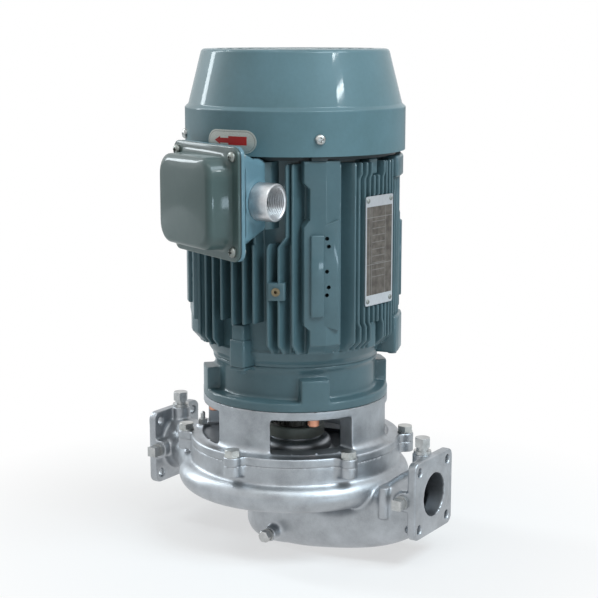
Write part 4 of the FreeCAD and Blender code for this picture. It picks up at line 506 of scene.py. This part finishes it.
def rating_plate():
    """Silver ends, and a dark etched middle ruled with lines: a line is where the distance to its
    place is less than half its breadth, and the short lines are the peaks of a sine."""
    paint = Paint("rating_plate")
    x, y, z = paint.axes()
    a = math.radians(PLATE_AZIMUTH)
    across, up = (x * math.cos(a) + y * math.sin(a)) / MM, z / MM - PLATE_HEIGHT
    grain = paint.noise(0.0006, detail=3, scale=(1, 1, 0.15))
    cloud = paint.noise(0.006, detail=4)
    dark = up.near(0.0, 39.6) * across.near(0.0, 18.9)
    upright = across.near(-14.5, 0.22) + across.near(-11.5, 0.22) + across.near(9.0, 0.2)
    level = up.near(30.0, 0.25) + up.near(-12.0, 0.25)
    short = (up / 3.1 * math.pi).sine().above(0.93) * across.within(-10.6, 8.0) * up.near(0.0, 28.0)
    ruled = ((upright + level + short * 0.6) * 0.75).clipped()
    silver = paint.mixed(grain, linear(190, 194, 199), linear(224, 228, 232))
    etched = paint.shades(cloud, (78, 71, 65), (112, 105, 98))
    middle = paint.mixed(ruled, etched, linear(150, 148, 144))
    paint.set(Base_Color=paint.mixed(dark, silver, middle), Metallic=0.9 - dark * 0.55,
              Roughness=grain * 0.15 + dark * 0.1 + 0.28)
    return paint.bump(grain * 0.4 - dark * 1.0, 0.00005, 0.5).material


plate_print = rating_plate()
print("plate", plate_print.name, "with", len(plate_print.node_tree.nodes), "nodes")

# %% [markdown]
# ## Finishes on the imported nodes
# The CAD says of each piece what it is made of. A node whose solid is already right keeps it and only
# gets the finish of its stuff, so this is one loop. A few nodes have a finish of their own.

# %% Materials by node
finish_of_slot = {
    "cast_stainless": stainless, "machined_steel": plug_steel, "zinc_steel": zinc,
    "dark_steel": dark_steel, "bearing_steel": bearing_steel, "motor_paint": enamel,
    "aluminium": aluminium, "copper": copper, "brass": brass, "black_rubber": rubber,
    "black_plastic": plastic, "carbon": carbon, "ceramic": ceramic, "label_sheet": aluminium,
}
# The rear shield gets the dark enamel as painted shade, and the seal gland a paler grey as painted light.
special = {
    "motor_shaft": machined, "motor_bolts": bolt_copper, "shaft_collar": dark_steel,
    "seal_gland": gland_grey, "drive_shield_screws": enamel, "rear_shield": inner_enamel,
    "rotation_label": arrow_foil, "nameplate": plate_print, "nameplate_rivets": dull_zinc,
    "lid_screws": dull_zinc, "earth_screw": earth_brass,
}
slot_of_node = {part["node"]: part["material_slot"] for part in frame["record"]["subparts"]}
for name, thing in frame["nodes"].items():
    thing.data.materials.clear()
    thing.data.materials.append(special.get(name, finish_of_slot[slot_of_node[name]]))
    thing.data.set_sharp_from_angle(angle=math.radians(30))
print("nodes dressed", len(frame["nodes"]))

# %% [markdown]
# ## Castings
# A casting has no sharp inner corner: metal flows round each joint as a fillet, and its outer edges
# are softened by the blasting. The CAD solids have the shape without those fillets. A copy of a solid
# is rebuilt from small cubes and its points are then relaxed: where the surface is hollow, a point may
# move out towards the mean of its neighbours many times over, and where it bulges only a few times.
# A Bevel modifier can't do this, because it rounds bulging edges and hollow ones alike.

# %% Relaxing a surface
def point_normals(points, faces):
    """Area-weighted normals of points, from quads given as arrays."""
    a, b, c, d = (points[faces[:, k]] for k in range(4))
    across = np.cross(c - a, d - b)
    normals = np.zeros_like(points)
    for k in range(4):
        for axis in range(3):
            normals[:, axis] += np.bincount(faces[:, k], across[:, axis], len(points))
    return normals / np.maximum(np.linalg.norm(normals, axis=1), 1e-12)[:, None]


def relaxed(points, edges, faces, fill_rounds, soften_rounds, keep):
    """Points moved towards the mean of their neighbours: outward moves in every round, inward
    moves only in the first rounds. keep is 1 where a point must stay."""
    ends = np.concatenate([edges[:, 0], edges[:, 1]])
    others = np.concatenate([edges[:, 1], edges[:, 0]])
    count = np.maximum(np.bincount(ends, minlength=len(points)), 1)
    for step in range(fill_rounds):
        mean = np.stack([np.bincount(ends, points[others, k], len(points)) for k in range(3)], 1)
        move = mean / count[:, None] - points
        outward = (move * point_normals(points, faces)).sum(1)
        share = np.where(outward > 0, 0.6, 0.5 if step < soften_rounds else 0.0)
        points = points + move * (share * (1 - keep))[:, None]
    return points


# %% Cast copies of CAD solids
def mesh_points(mesh):
    """The points of a mesh as an array, in the unit of the mesh."""
    points = np.zeros(len(mesh.vertices) * 3, np.float32)
    mesh.vertices.foreach_get("co", points)
    return points.reshape(-1, 3).astype(float)


def applied(thing):
    """The mesh that an object's modifiers make, put back into the object without them."""
    bpy.context.view_layer.update()
    ready = thing.evaluated_get(bpy.context.evaluated_depsgraph_get())
    mesh = bpy.data.meshes.new_from_object(ready)
    thing.modifiers.clear()
    thing.data = mesh
    return mesh


def cast_copy(name, node, material, voxel, fill_rounds, soften_rounds, triangles, held):
    """A rebuilt copy of a CAD node with its fillets, thinned to a number of triangles."""
    thing = linked(name, cleaned(frame["nodes"][node].data.copy(), 2e-6, turn=False))
    cubes = thing.modifiers.new("cubes", "REMESH")
    cubes.mode, cubes.voxel_size = "VOXEL", voxel * MM
    mesh = applied(thing)
    points = mesh_points(mesh) / MM
    edges = np.zeros(len(mesh.edges) * 2, np.int32)
    mesh.edges.foreach_get("vertices", edges)
    faces = np.array([p.vertices[:] for p in mesh.polygons])
    points = relaxed(points, edges.reshape(-1, 2), faces, fill_rounds, soften_rounds, held(points))
    mesh.vertices.foreach_set("co", (points * MM).astype(np.float32).ravel())
    mesh.update()
    thin = thing.modifiers.new("thin", "DECIMATE")
    thin.ratio = min(1.0, triangles / (2 * len(faces)))
    mesh = applied(thing)
    bpy.data.objects.remove(thing)
    mesh.name = name
    return dressed(name, mesh, material, 50.0, node)


# %% [markdown]
# Faces that are machined, or that lie on a neighbour, must stay where the CAD has them. Each casting
# has a function that says which of its points are held.

# %% The casing, the bracket, the drive shield and the terminal box
def flange_planes(points):
    """Holds both flange faces, the joint face and the foot."""
    x, y, z = points.T
    return ((np.abs(x) > 149.0) | (z > 93.0) | (z < 0.3)).astype(float)


def ends(low, high):
    """A rule that holds the points below one height and above another."""
    return lambda points: ((points[:, 2] < low) | (points[:, 2] > high)).astype(float)


def box_back(points):
    """Holds the back of the terminal box, which lies on the seat of the frame."""
    return (points[:, 1] > -93.8).astype(float)


cast_copy("casing", "volute_casing", stainless, 1.1, 14, 2, 190000, flange_planes)
cast_copy("lantern", "bracket", stainless, 1.0, 10, 2, 110000, ends(94.2, 140.8))
cast_copy("lower_shield", "drive_shield", enamel, 1.0, 10, 2, 90000, ends(142.0, 179.8))
cast_copy("junction_box", "terminal_box_base", box_enamel, 0.9, 10, 2, 90000, box_back)

# %% [markdown]
# ## The motor frame
# The frame is die cast with everything on it: cooling fins, four pads for feet, lugs for the screws
# of the shield, a pad for the earth screw and the seat of the terminal box. The mould opens in four
# directions, so the fins stand parallel in four groups, not like the spokes of a wheel. A fin is one
# cross-section carried up along a path. The path can step sideways, and the tip can draw back in
# front of the terminal box or under the nameplate, so both are functions of height.

# %% Fins
BARREL, FIN_TIP = 82.0, 96.5
FIN_LOW, FIN_HIGH = 195.4, 364.0
FRONT_FINS = (-52.2, -40.0, -28.9, -17.8, -5.1, 6.8, 16.8, 29.6, 38.9, 49.8)
SIDE_FINS = (-52.4, -38.7, -34.5, -28.4, -22.6, -16.6, -10.5, -3.9,
             2.3, 8.6, 14.9, 21.2, 27.5, 33.8, 40.1, 46.4)
ABOVE_LUG = {-17.8: 222.8, -5.1: 219.8, 6.8: 221.1, 16.8: 223.0}
AT_BLOCK = (-16.6, -10.5)
BOX_CUT, PLATE_CUTS = 293.15, (234.75, 334.85)


def fin_section(root, tip):
    """Half-breadths and depths of a fin from the barrel to its tip: a flare of radius 1.8 at the
    root, flanks that draw in from 1.7 to 1.25, and a round tip."""
    a = np.linspace(0, math.pi / 2, 4)
    flare = np.column_stack([1.7 + 1.8 * (1 - np.sin(a)), root - 0.2 + 1.8 * (1 - np.cos(a))])
    nose = np.column_stack([1.25 * np.cos(a), tip - 1.25 + 1.25 * np.sin(a)])
    right = np.concatenate([[(3.5, root - 3.5)], flare, [(1.45, (tip + root) / 2)], nose])
    return np.concatenate([right, (right * (-1, 1))[-2::-1]])


def fin_path(side, place):
    """Lower end, upper end and path of a fin as (height, place) pairs. Fins stop above the front
    and back lugs and between the side blocks, their neighbours step aside for them, and two at the
    front make room for the conduit."""
    straight = [(0, place), (400, place)]
    if side == 0 and place == 29.6:
        return FIN_LOW, 294.5, [(0, 29.6), (290, 29.6), (294.5, 31.1)]
    if side == 0 and place == 38.9:
        return FIN_LOW, FIN_HIGH, [(0, 38.9), (291.5, 38.9), (301.3, 45.2), (400, 45.2)]
    if side in (0, 180):
        return ABOVE_LUG.get(place, FIN_LOW), FIN_HIGH, straight
    if place in AT_BLOCK:
        return 219.8, 352.0, straight
    if -36 < place < 0:
        return FIN_LOW, FIN_HIGH, [(0, place + 2.1), (217, place + 2.1), (221, place), (350, place),
                                   (354, place + 2.4), (400, place + 2.4)]
    return FIN_LOW, FIN_HIGH, straight


def fin(side, place):
    """A fin of the group on a side: its root at the depth sqrt(82^2 - x^2) and its tip at
    sqrt(96.5^2 - x^2), less where something is in the way. A full-length fin slants at its foot."""
    low, high, path = fin_path(side, place)
    whole = low == FIN_LOW
    marks = [low, low + 0.8, high - 0.9, high] + [h for h, _ in path]
    marks += [h + d for h in (BOX_CUT, *PLATE_CUTS) for d in (-0.05, 0.05)]
    marks += list(np.linspace(low + 2, low + 9, 6)) if whole else []
    heights = np.unique([h for h in marks if low <= h <= high])
    x = np.interp(heights, *zip(*path))
    root, tip = np.sqrt(BARREL ** 2 - x ** 2), np.sqrt(FIN_TIP ** 2 - x ** 2)
    slant = ([low, low + 2, low + 8.6], [7.2, 6.6, 0.0]) if whole else ([low, low + 0.8], [0.9, 0])
    tip = tip - np.interp(heights, *slant) - np.interp(heights, [high - 0.9, high], [0, 0.9])
    if side == 0:
        tip = np.where((heights > BOX_CUT) & (x < 31), np.minimum(tip, 92.8), tip)
    if side == 90 and -33 < place < 13:
        # The seat of the nameplate is a plane 95.4 from the axis, turned from the fins by 6 degrees.
        plate = (95.4 + 0.1045 * x) / 0.9945
        beside = (heights > PLATE_CUTS[0]) & (heights < PLATE_CUTS[1])
        tip = np.where(beside, np.minimum(tip, plate), tip)
    loops = []
    for height, middle, near, far in zip(heights, x, root, tip):
        t, depth = fin_section(near, far).T
        loops.append(np.column_stack([t + middle, -depth, 0 * t + height]))
    return around(carried(loops), side)


fins = [fin(side, place) for side in (0, 180) for place in FRONT_FINS]
fins += [fin(side, place) for side in (90, 270) for place in SIDE_FINS]
print("fins", len(fins))

# %% [markdown]
# The pads and lugs grow out of the barrel between the fins. Each is typed as an outline seen from
# above and carried up, and the outline may change with the height.

# %% Foot pads
PADS = (47.0, 137.0, 227.0, 317.0)
BAR_LOW, BAR_HIGH = 230.6, 302.8


def foot_pad():
    """A foot pad at the front. Its outside is two flat facets that meet in a ridge; its left edge
    steps in and out, and its lower end slants like the fins."""
    left = [(195.4, -11.4), (218, -11.4), (223, -16.8), (310, -16.8), (316, -11.4), (343, -11.4),
            (348, -16.8), (367, -16.8)]
    heights = np.unique([h for h, _ in left] + list(np.linspace(196, 206, 8)) + [364.5, 366.2, 366.7])
    reach = np.interp(heights, *zip(*left))
    cut = np.interp(heights, [195.4, 197, 204.6, 366.2, 366.7, 367], [7.6, 7.0, 0, 0, 0.25, 0.8])
    loops = []
    for height, edge, back in zip(heights, reach, cut):
        outline = [(edge, -80), (16.3, -80), (16.3, back - 95.7), (2.75, back - 98.56),
                   (edge, back - 97.2)]
        outline = rounded(outline, [0.1, 0.1, 1.3, 0.8, 1.3], 4)
        loops.append(np.column_stack([outline, np.full(len(outline), height)]))
    return carried(loops)


def pad_stretch():
    """Where the left facet of a pad goes on over the ridge: a block whose ends slant, 5 mm longer
    at its right side than at the ridge, z + 5 x / 14.5 at the top and z - 5 x / 14.5 below."""
    points, faces = pad_block([(0, -98.37), (14.5, -99.38), (14.5, -88), (0, -88)], 222, 311, 0.9, 1.0)
    slant = 5 * points[:, 0] / 14.5
    points[:, 2] += np.where(points[:, 2] > 260, slant, -slant)
    return points, faces


def pad_bar():
    """The raised bar along the left of a pad."""
    corners = [(-11.3, -101.0), (0.7, -101.55), (0.7, -95), (-11.3, -94)]
    return pad_block(corners, BAR_LOW, BAR_HIGH, 1.2, 1.4)


print("heights of a pad's loops", len(np.unique(foot_pad()[0][:, 2])))


# %% Lugs
def bolt_lug():
    """A lug in two steps, the lower one wider, with its foot on the shield."""
    lower = pad_block([(-8, -92.5), (8, -92.5), (9.4, -76), (-9.4, -76)], 180.45, 205.6, 1.6, 2.2)
    upper = pad_block([(-6.6, -91.2), (6.6, -91.2), (8, -78), (-8, -78)], 200.0, 219.4, 1.6, 2.2)
    return [lower, upper]


def side_lug(low, high):
    """The broad lug at 112 degrees: a sector of a ring with round edges."""
    a = math.radians(11.5)
    corners = [(r * math.sin(t), -r * math.cos(t)) for r, t in
               [(99.3, -a), (99.6, -a / 2), (99.6, a / 2), (99.3, a), (78, a), (78, -a)]]
    return pad_block(corners, low, high, 2.4, 2.0)


lugs = [around(part, a) for a in (-2.0, 178.0) for part in bolt_lug()]
short = [(-5.6, -92.5), (5.6, -92.5), (6.8, -76), (-6.8, -76)]
lugs += [around(pad_block(short, low, high, 1.6, 2.0), a)
         for a in (81.6, 261.6) for low, high in ((195.8, 219.4), (352.5, 366.9))]
lugs += [around(side_lug(184.9, 219.9), 112), around(side_lug(347.0, 367.0), 112)]
print("lugs", len(lugs))

# %% [markdown]
# Each pad has five small holes and the earth pad has one. A hole in a grid of points is awkward, so
# here a Boolean is the better tool: solids minus cylinders.

# %% Holes
def drilled(parts, cutters):
    """Parts with round holes: a Boolean of one mesh of closed solids and one of cylinders."""
    solid, tools = (linked("drilling", mesh_of("drilling", *gathered(group))) for group in (parts, cutters))
    cut = solid.modifiers.new("cut", "BOOLEAN")
    cut.operation, cut.solver, cut.object = "DIFFERENCE", "EXACT", tools
    mesh = applied(solid)
    bpy.data.objects.remove(solid)
    bpy.data.objects.remove(tools)
    return mesh_points(mesh), [tuple(p.vertices) for p in mesh.polygons]


def peg(radius, start, end, steps=24):
    """A cylinder between two points."""
    start, end = np.asarray(start, float), np.asarray(end, float)
    along = (end - start) / np.linalg.norm(end - start)
    side = np.cross(along, (0, 0, 1) if abs(along[2]) < 0.9 else (1, 0, 0))
    side /= np.linalg.norm(side)
    a = np.linspace(0, 2 * math.pi, steps, endpoint=False)[:, None]
    circle = radius * (side * np.cos(a) + np.cross(along, side) * np.sin(a))
    return carried([circle + start, circle + end])


holes = [peg(1.8, (x, -104, BAR_LOW + rise), (x, -92, BAR_LOW + rise))
         for rise, x in ((19, 3.7), (26, 5.2), (40, 3.7), (62, 5.2), (69, 3.7))]
drills = [around(h, a) for h in holes for a in PADS]
pads = [drilled([around(foot_pad(), a) for a in PADS], drills),
        drilled([around(pad_stretch(), a) for a in PADS], drills)]
pads += [around(pad_bar(), a) for a in PADS]
print("holes in the pads", len(drills))

# %% The whole frame
EARTH_AZIMUTH, EARTH_HEIGHT = 22.7, 252.6
RAILS = PLATE_HEIGHT - 47, PLATE_HEIGHT + 47
earth_pad = pad_block(rectangle(-8, 8, -97.4, -78), 244.6, 260.6, 1.2, 1.8)
earth_hole = peg(2.5, (0, -99, EARTH_HEIGHT), (0, -84, EARTH_HEIGHT))
earth = around(drilled([earth_pad], [earth_hole]), EARTH_AZIMUTH)
seat_outline = [(-45, -93), (28.8, -93), (31.7, -86.6), (31.7, -70), (-45, -70)]
seat = pad_block(seat_outline, 307.2, 366.0, 0.6, 0.6)
rails = [around(pad_block(rectangle(x - 2, x + 2, -95.4, -78), *RAILS, 0.5, 0.8), PLATE_AZIMUTH)
         for x in (-17.5, 17.5)]
web = around(pad_block(rectangle(-17.5, 17.5, -95.4, -92.9), *RAILS, 0.3, 0.5), PLATE_AZIMUTH)
barrel_profile = rounded([(75, 180.42), (77.5, 180.42), (78.2, 183.0), (81.0, 187.0), (83.4, 194.2),
                          (BARREL, 196.6), (BARREL, 367.0), (75, 367.0)],
                         [0.3, 1.0, 3.0, 6.0, 1.2, 1.0, 1.0, 0.5], 5)
motor_parts = [turned(barrel_profile, 240)] + fins + pads + lugs + [earth, seat, web] + rails
piece("motor_housing", motor_parts, enamel, "motor_frame")

# %% [markdown]
# ## The fan cover
# The cover is pressed from sheet. Its outside is one profile turned round the shaft, with the grille
# left open: a grid of cells over the outside, the same grid 1.6 mm further in, and a mask that says
# which cells are metal. Where a kept cell borders an open one, a wall joins outside and inside.

# %% Sheets with openings
def normals_of(profile):
    """Unit normals of an open (r, z) profile, pointing inwards to the shaft and down."""
    steps = np.gradient(profile, axis=0)
    normals = np.stack([-steps[:, 1], steps[:, 0]], 1)
    return normals / np.linalg.norm(normals, axis=1)[:, None]


def masked_sheet(outside, inside, kept):
    """A closed sheet from two grids of points (rows, columns, 3) and a mask of its cells. Columns
    are closed on themselves. Walls stand on every border between a kept and an open cell."""
    rows, columns = outside.shape[:2]
    number = np.arange(rows * columns).reshape(rows, columns)
    right = np.roll(number, -1, 1)
    a, b, c, d = number[:-1], right[:-1], right[1:], number[1:]
    quads = np.stack([a, b, c, d], -1)[kept]
    inner = quads[:, ::-1] + rows * columns
    below = kept & ~np.pad(kept, ((1, 0), (0, 0)))[:-1]
    above = kept & ~np.pad(kept, ((0, 1), (0, 0)))[1:]
    before = kept & ~np.roll(kept, 1, 1)
    after = kept & ~np.roll(kept, -1, 1)
    walls = [np.stack([e[where], s[where], s[where] + rows * columns, e[where] + rows * columns], -1)
             for where, s, e in ((below, a, b), (above, c, d), (before, d, a), (after, b, c))]
    points = np.concatenate([outside.reshape(-1, 3), inside.reshape(-1, 3)])
    return points, np.concatenate([quads, inner] + walls)


print("an upright wall points", normals_of(np.array([(9.0, 0.0), (9.0, 9.0)]))[0], "inwards")

# %% The cover with its grille
COVER_RADIUS, COVER_SHEET, SCREW_HEIGHT = 101.2, 1.6, 385.7
COVER_BOTTOM, BAND_TOP, CONE_BOTTOM, COVER_TOP = 370.7, 409.7, 413.0, 461.5
FIRST_SLOT, SLOT, SLOT_STEP, GRILLE = 22.0, 5.0, 9.0, 75.0


def fan_cover():
    """Band, shoulder bead, cone and top with its six rings of slots and six spokes."""
    side = rounded([(COVER_RADIUS, COVER_BOTTOM), (COVER_RADIUS, BAND_TOP), (97.9, CONE_BOTTOM - 0.5),
                    (85.5, COVER_TOP), (GRILLE, COVER_TOP)], [0, 1.6, 2.2, 4.0, 0], 7, closed=False)
    band = np.column_stack([np.full(24, COVER_RADIUS), np.linspace(COVER_BOTTOM, BAND_TOP - 2, 24)])
    edges = [GRILLE]
    for k in range(5, -1, -1):
        edges += [FIRST_SLOT + SLOT + SLOT_STEP * k, FIRST_SLOT + SLOT_STEP * k]
    top = np.column_stack([edges + [0.4], np.full(len(edges) + 1, COVER_TOP)])
    profile = np.concatenate([band, side[1:-1], top])
    outside = ring_grid(profile, 360)
    inside = ring_grid(profile + normals_of(profile) * COVER_SHEET, 360)
    middle = (profile[1:] + profile[:-1]) / 2
    a, r, z = np.arange(360) + 0.5, middle[:, :1], middle[:, 1:]
    in_slot = (z > COVER_TOP - 0.01) & (r > FIRST_SLOT) & (r < 73) & ((r - FIRST_SLOT) % SLOT_STEP < SLOT)
    spoke = np.abs(r * np.sin(np.radians((a + 30) % 60 - 30))) < 3.5
    across = np.radians(a % 90 - 45) * r
    hole = (across ** 2 + (z - SCREW_HEIGHT) ** 2 < 2.6 ** 2) & (r > 100)
    return masked_sheet(outside, inside, ~((in_slot & ~spoke) | hole))


piece("fan_hood", [fan_cover()], hood_enamel, "fan_cover")

# %% [markdown]
# ## The terminal box lid
# The lid is die cast too: a flat rim and a dome. Its loops are rounded rectangles that run from the
# inside, round the rim and up over the dome; towards the middle the dome rises a little as a crown.

# %% Lid
BOX_HEIGHT, BOX_AZIMUTH = 333.2, -24.2
LID_HALF_X, LID_HALF_Y = 56.2, 48.8
DOME_X, DOME_Y, DOME_TOP = 11.0, 9.0, 24.7


def lid_loop(inset_x, inset_y, corner, height, scale=1.0):
    """A rounded rectangle of the lid at a height above the back of its rim. Above 12 it is raised
    by a crown: 1.8 times 1 less the square of x / 44, times the same of y / 38."""
    x, y = (LID_HALF_X - inset_x) * scale, (LID_HALF_Y - inset_y) * scale
    outline = rounded([(-x, -y), (x, -y), (x, y), (-x, y)], corner * scale, 9)
    fall = np.clip(1 - (outline / (44, 38)) ** 2, 0, 1)
    crown = 1.8 * fall[:, 0] * fall[:, 1]
    return np.column_stack([outline, height + (crown if height > 12 else 0 * crown)])


def terminal_lid():
    """Rim 2.5 thick; dome 24.7 high, set in 11 and 9, with a 3.6 mm fillet at its foot, walls with
    0.6 mm draft and an edge of radius 5.5."""
    loops = [lid_loop(21, 19, 9, 21.6, k) for k in (0.06, 0.3, 0.6, 0.85, 1.0)]
    inner_wall = (4.0, 20.4), (1.6, 17.5), (0.6, 12), (0, 4), (0, 0)
    loops += [lid_loop(13.5 + s, 11.5 + s, 15, h) for s, h in inner_wall]
    loops += [lid_loop(0.4, 0.4, 8.6, 0), lid_loop(0, 0, 9, 0.3)]
    rim, fillet, edge = 1.2, 3.6, 5.5
    a = np.linspace(0, math.pi / 2, 5)
    for t in a:
        out = rim * (1 - math.cos(t))
        loops.append(lid_loop(out, out, 7.8 + rim * math.cos(t), 1.3 + rim * math.sin(t)))
    for t in a:
        out = fillet * (math.sin(t) - 1)
        loops.append(lid_loop(DOME_X + out, DOME_Y + out, 16, 2.5 + fillet * (1 - math.cos(t))))
    for t in np.linspace(0, math.pi / 2, 9):
        out = 0.6 + edge * (1 - math.cos(t))
        height = DOME_TOP - edge + edge * math.sin(t)
        loops.append(lid_loop(DOME_X + out, DOME_Y + out, 15.5, height))
    loops += [lid_loop(20.6, 18.6, 15.5, DOME_TOP, k) for k in (0.85, 0.65, 0.45, 0.25, 0.08)]
    return carried(loops)


def on_lid(part):
    """A part built flat, laid on the lid plane, 112.5 from the shaft axis: its x goes along the
    box, its y upwards and its z outwards."""
    points, faces = part
    a = math.radians(BOX_AZIMUTH)
    out, along = np.array([math.sin(a), -math.cos(a), 0]), np.array([math.cos(a), math.sin(a), 0])
    middle = out * 112.5 + along * 33.3 + np.array([0, 0, BOX_HEIGHT])
    return points @ np.stack([along, (0, 0, 1), out]) + middle, faces


lid_holes = [peg(2.8, (x, y, -2), (x, y, 5)) for x in (-47.9, 47.9) for y in (-40.3, 40.3)]
lid_part = on_lid(drilled([terminal_lid()], lid_holes))
piece("junction_lid", [lid_part], lid_enamel, "terminal_box_lid")

# %% [markdown]
# The conduit socket shows its thread. A Screw modifier could make it. Here it is a bore whose radius
# depends on the place along it and on the angle.

# %% Conduit socket with its thread
def conduit():
    """A tube along x. Its bore is a helicoid: radius 14 plus 0.75 times the cosine of
    2 pi (x / pitch) - angle, so the ridge climbs one pitch in a turn. It fades into the mouth."""
    start, length, pitch, columns = 31.0, 17.5, 1.8, 72
    x = np.linspace(0, length, 150)
    a = np.linspace(0, 2 * math.pi, columns, endpoint=False)
    x, a = np.meshgrid(x, a, indexing="ij")
    wave = np.cos(2 * math.pi * x / pitch - a)
    fade = np.clip((length - x) / 1.6, 0, 1)
    bore = 14.0 + 0.75 * wave * fade + (1 - fade) * 0.8
    outer = np.array([(start, 16.6), (47.4, 16.6), (48.3, 16.2), (48.5, 15.7)])
    xs = np.concatenate([outer[:, :1] + 0 * a[:1], start + x[::-1]])
    rs = np.concatenate([outer[:, 1:] + 0 * a[:1], bore[::-1]])
    angle = np.broadcast_to(a[:1], xs.shape)
    points = np.stack([xs, -104.5 - rs * np.cos(angle), BOX_HEIGHT + rs * np.sin(angle)], -1)
    return points.reshape(-1, 3), grid_quads(len(xs), columns, closed_rows=True)


piece("conduit_tube", [conduit()], aluminium, "conduit_socket")

# %% [markdown]
# ## The stage
# The photograph has a white ground and no visible floor. A floor that catches no shadow would let the
# pump float. This one is pale and matt, keeps a soft shadow under the pump, and turns to plain white
# further out. The sky is dim for the light and white for the camera.

# %% Floor and world
def stage_floor():
    """A round floor, 40 m in radius. The share of plain white in it goes for the camera from 0.55
    to 1 between 0.12 and 0.42 m out, and in reflections from 0.85 to 0.15 between 0.25 and 0.8."""
    a = np.linspace(0, 2 * math.pi, 96, endpoint=False)
    mesh = bpy.data.meshes.new("floor")
    rim = [(40 * math.sin(t), 40 * math.cos(t), -0.0002) for t in a]
    mesh.from_pydata(rim, [], [list(range(96))[::-1]])
    paint = Paint("floor_white", Roughness=0.9, Base_Color=(0.9, 0.9, 0.9, 1))
    x, y, z = paint.axes()
    radius = (x * x + y * y).root()
    in_view = paint.ray("Camera") * (radius.step(0.12, 0.42) * 0.45 + 0.55)
    in_gloss = paint.ray("Glossy") * (0.85 - radius.step(0.25, 0.8) * 0.7)
    share = in_view.math("MAXIMUM", in_gloss)
    matt = Value(paint, paint.shader.outputs[0])
    glow = paint.add("ShaderNodeEmission", None, Color=(1, 1, 1, 1), Strength=1.0)
    blend = paint.add("ShaderNodeMixShader", None, share, matt, glow)
    paint.tree.links.new(blend.socket, paint.tree.nodes["Material Output"].inputs["Surface"])
    mesh.materials.append(paint.material)
    floor = linked("floor", mesh)
    return floor


def stage_world(level):
    """An even sky: a level for the light, and white for rays of camera, gloss or glass."""
    world = bpy.data.worlds.new("studio")
    bpy.context.scene.world = world
    world.use_nodes = True
    sky = Nodes(world.node_tree)
    share = sky.ray("Camera").math("MAXIMUM", sky.ray("Glossy")).math("MAXIMUM", sky.ray("Transmission"))
    tone = sky.mixed(share, (level, level, level, 1), (1, 1, 1, 1))
    sky.tree.links.new(tone.socket, sky.tree.nodes["Background"].inputs["Color"])


print("stage", stage_floor().name)
stage_world(0.17)

# %% [markdown]
# The highlights of the photograph show a long light at the left and a large one high at the right,
# and two bright strips in the enamel of the fan cover. Two small lamps make those strips.

# %% Lamps
AIM = Vector((0, 0, 0.23))


def polar(azimuth, elevation, distance=2.4):
    """A place round the middle of the pump, from its azimuth and elevation in degrees."""
    a, e = math.radians(azimuth), math.radians(elevation)
    out = math.cos(e)
    return AIM + distance * Vector((math.sin(a) * out, -math.cos(a) * out, math.sin(e)))


def lamp(name, place, size, watts, colour):
    """A soft rectangular lamp at a place, turned to the middle of the pump."""
    light = bpy.data.lights.new(name, "AREA")
    light.shape, light.size, light.size_y, light.energy = "RECTANGLE", size[0], size[1], watts
    light.color = colour
    thing = linked(name, light)
    thing.location = place
    thing.rotation_euler = (AIM - place).to_track_quat("-Z", "Y").to_euler()
    return thing


lamp("left", polar(-85, 27), (0.3, 2.0), 29, (0.88, 0.96, 1.0))
lamp("right", polar(84, 49), (1.5, 0.8), 38, (0.76, 0.91, 1.0))
lamp("window", polar(85.2, 29.9), (0.34, 0.05), 3.2, (0.9, 0.97, 1.0))
lamp("pane", polar(84.5, 34.2), (0.3, 0.03), 1.8, (0.9, 0.97, 1.0))
lamp("over", polar(25, 64), (1.6, 0.5), 10, (0.95, 1.0, 1.0))
lamp("low", polar(70, -3.6), (0.9, 0.1), 4, (0.7, 0.87, 1.0))
print("lamps", [light.name for light in bpy.data.lights])

# %% [markdown]
# ## The camera
# Its place, tilt and lens come from a fit of the pump's circles and flanges to the photograph.

# %% Camera
def photo_camera():
    """The camera 1.37 m from the shaft axis and 0.41 m above the suction axis, 33 degrees round to
    the right, looking 10 degrees down."""
    azimuth, yaw, pitch = (math.radians(v) for v in (32.841636, 0.143698, 10.340186))
    forward = Vector((-math.sin(azimuth), math.cos(azimuth), 0))
    right = Vector((math.cos(azimuth), math.sin(azimuth), 0))
    upward = Vector((0, 0, 1))
    level = forward * math.cos(yaw) + right * math.sin(yaw)
    view = level * math.cos(pitch) - upward * math.sin(pitch)
    side = view.cross(upward).normalized()
    lens = bpy.data.cameras.new("photo_camera")
    lens.sensor_width, lens.lens = 36.0, 89.03
    camera = linked("photo_camera", lens)
    place = forward * -1.3679104 + Vector((0, 0, 0.414681 + 0.064))
    turn = Matrix((side, side.cross(view), -view)).transposed().to_4x4()
    camera.matrix_world = Matrix.Translation(place) @ turn
    bpy.context.scene.camera = camera
    return camera


camera = photo_camera()
bpy.context.scene.view_settings.view_transform = "Standard"
print("camera", [round(v, 4) for v in camera.location])
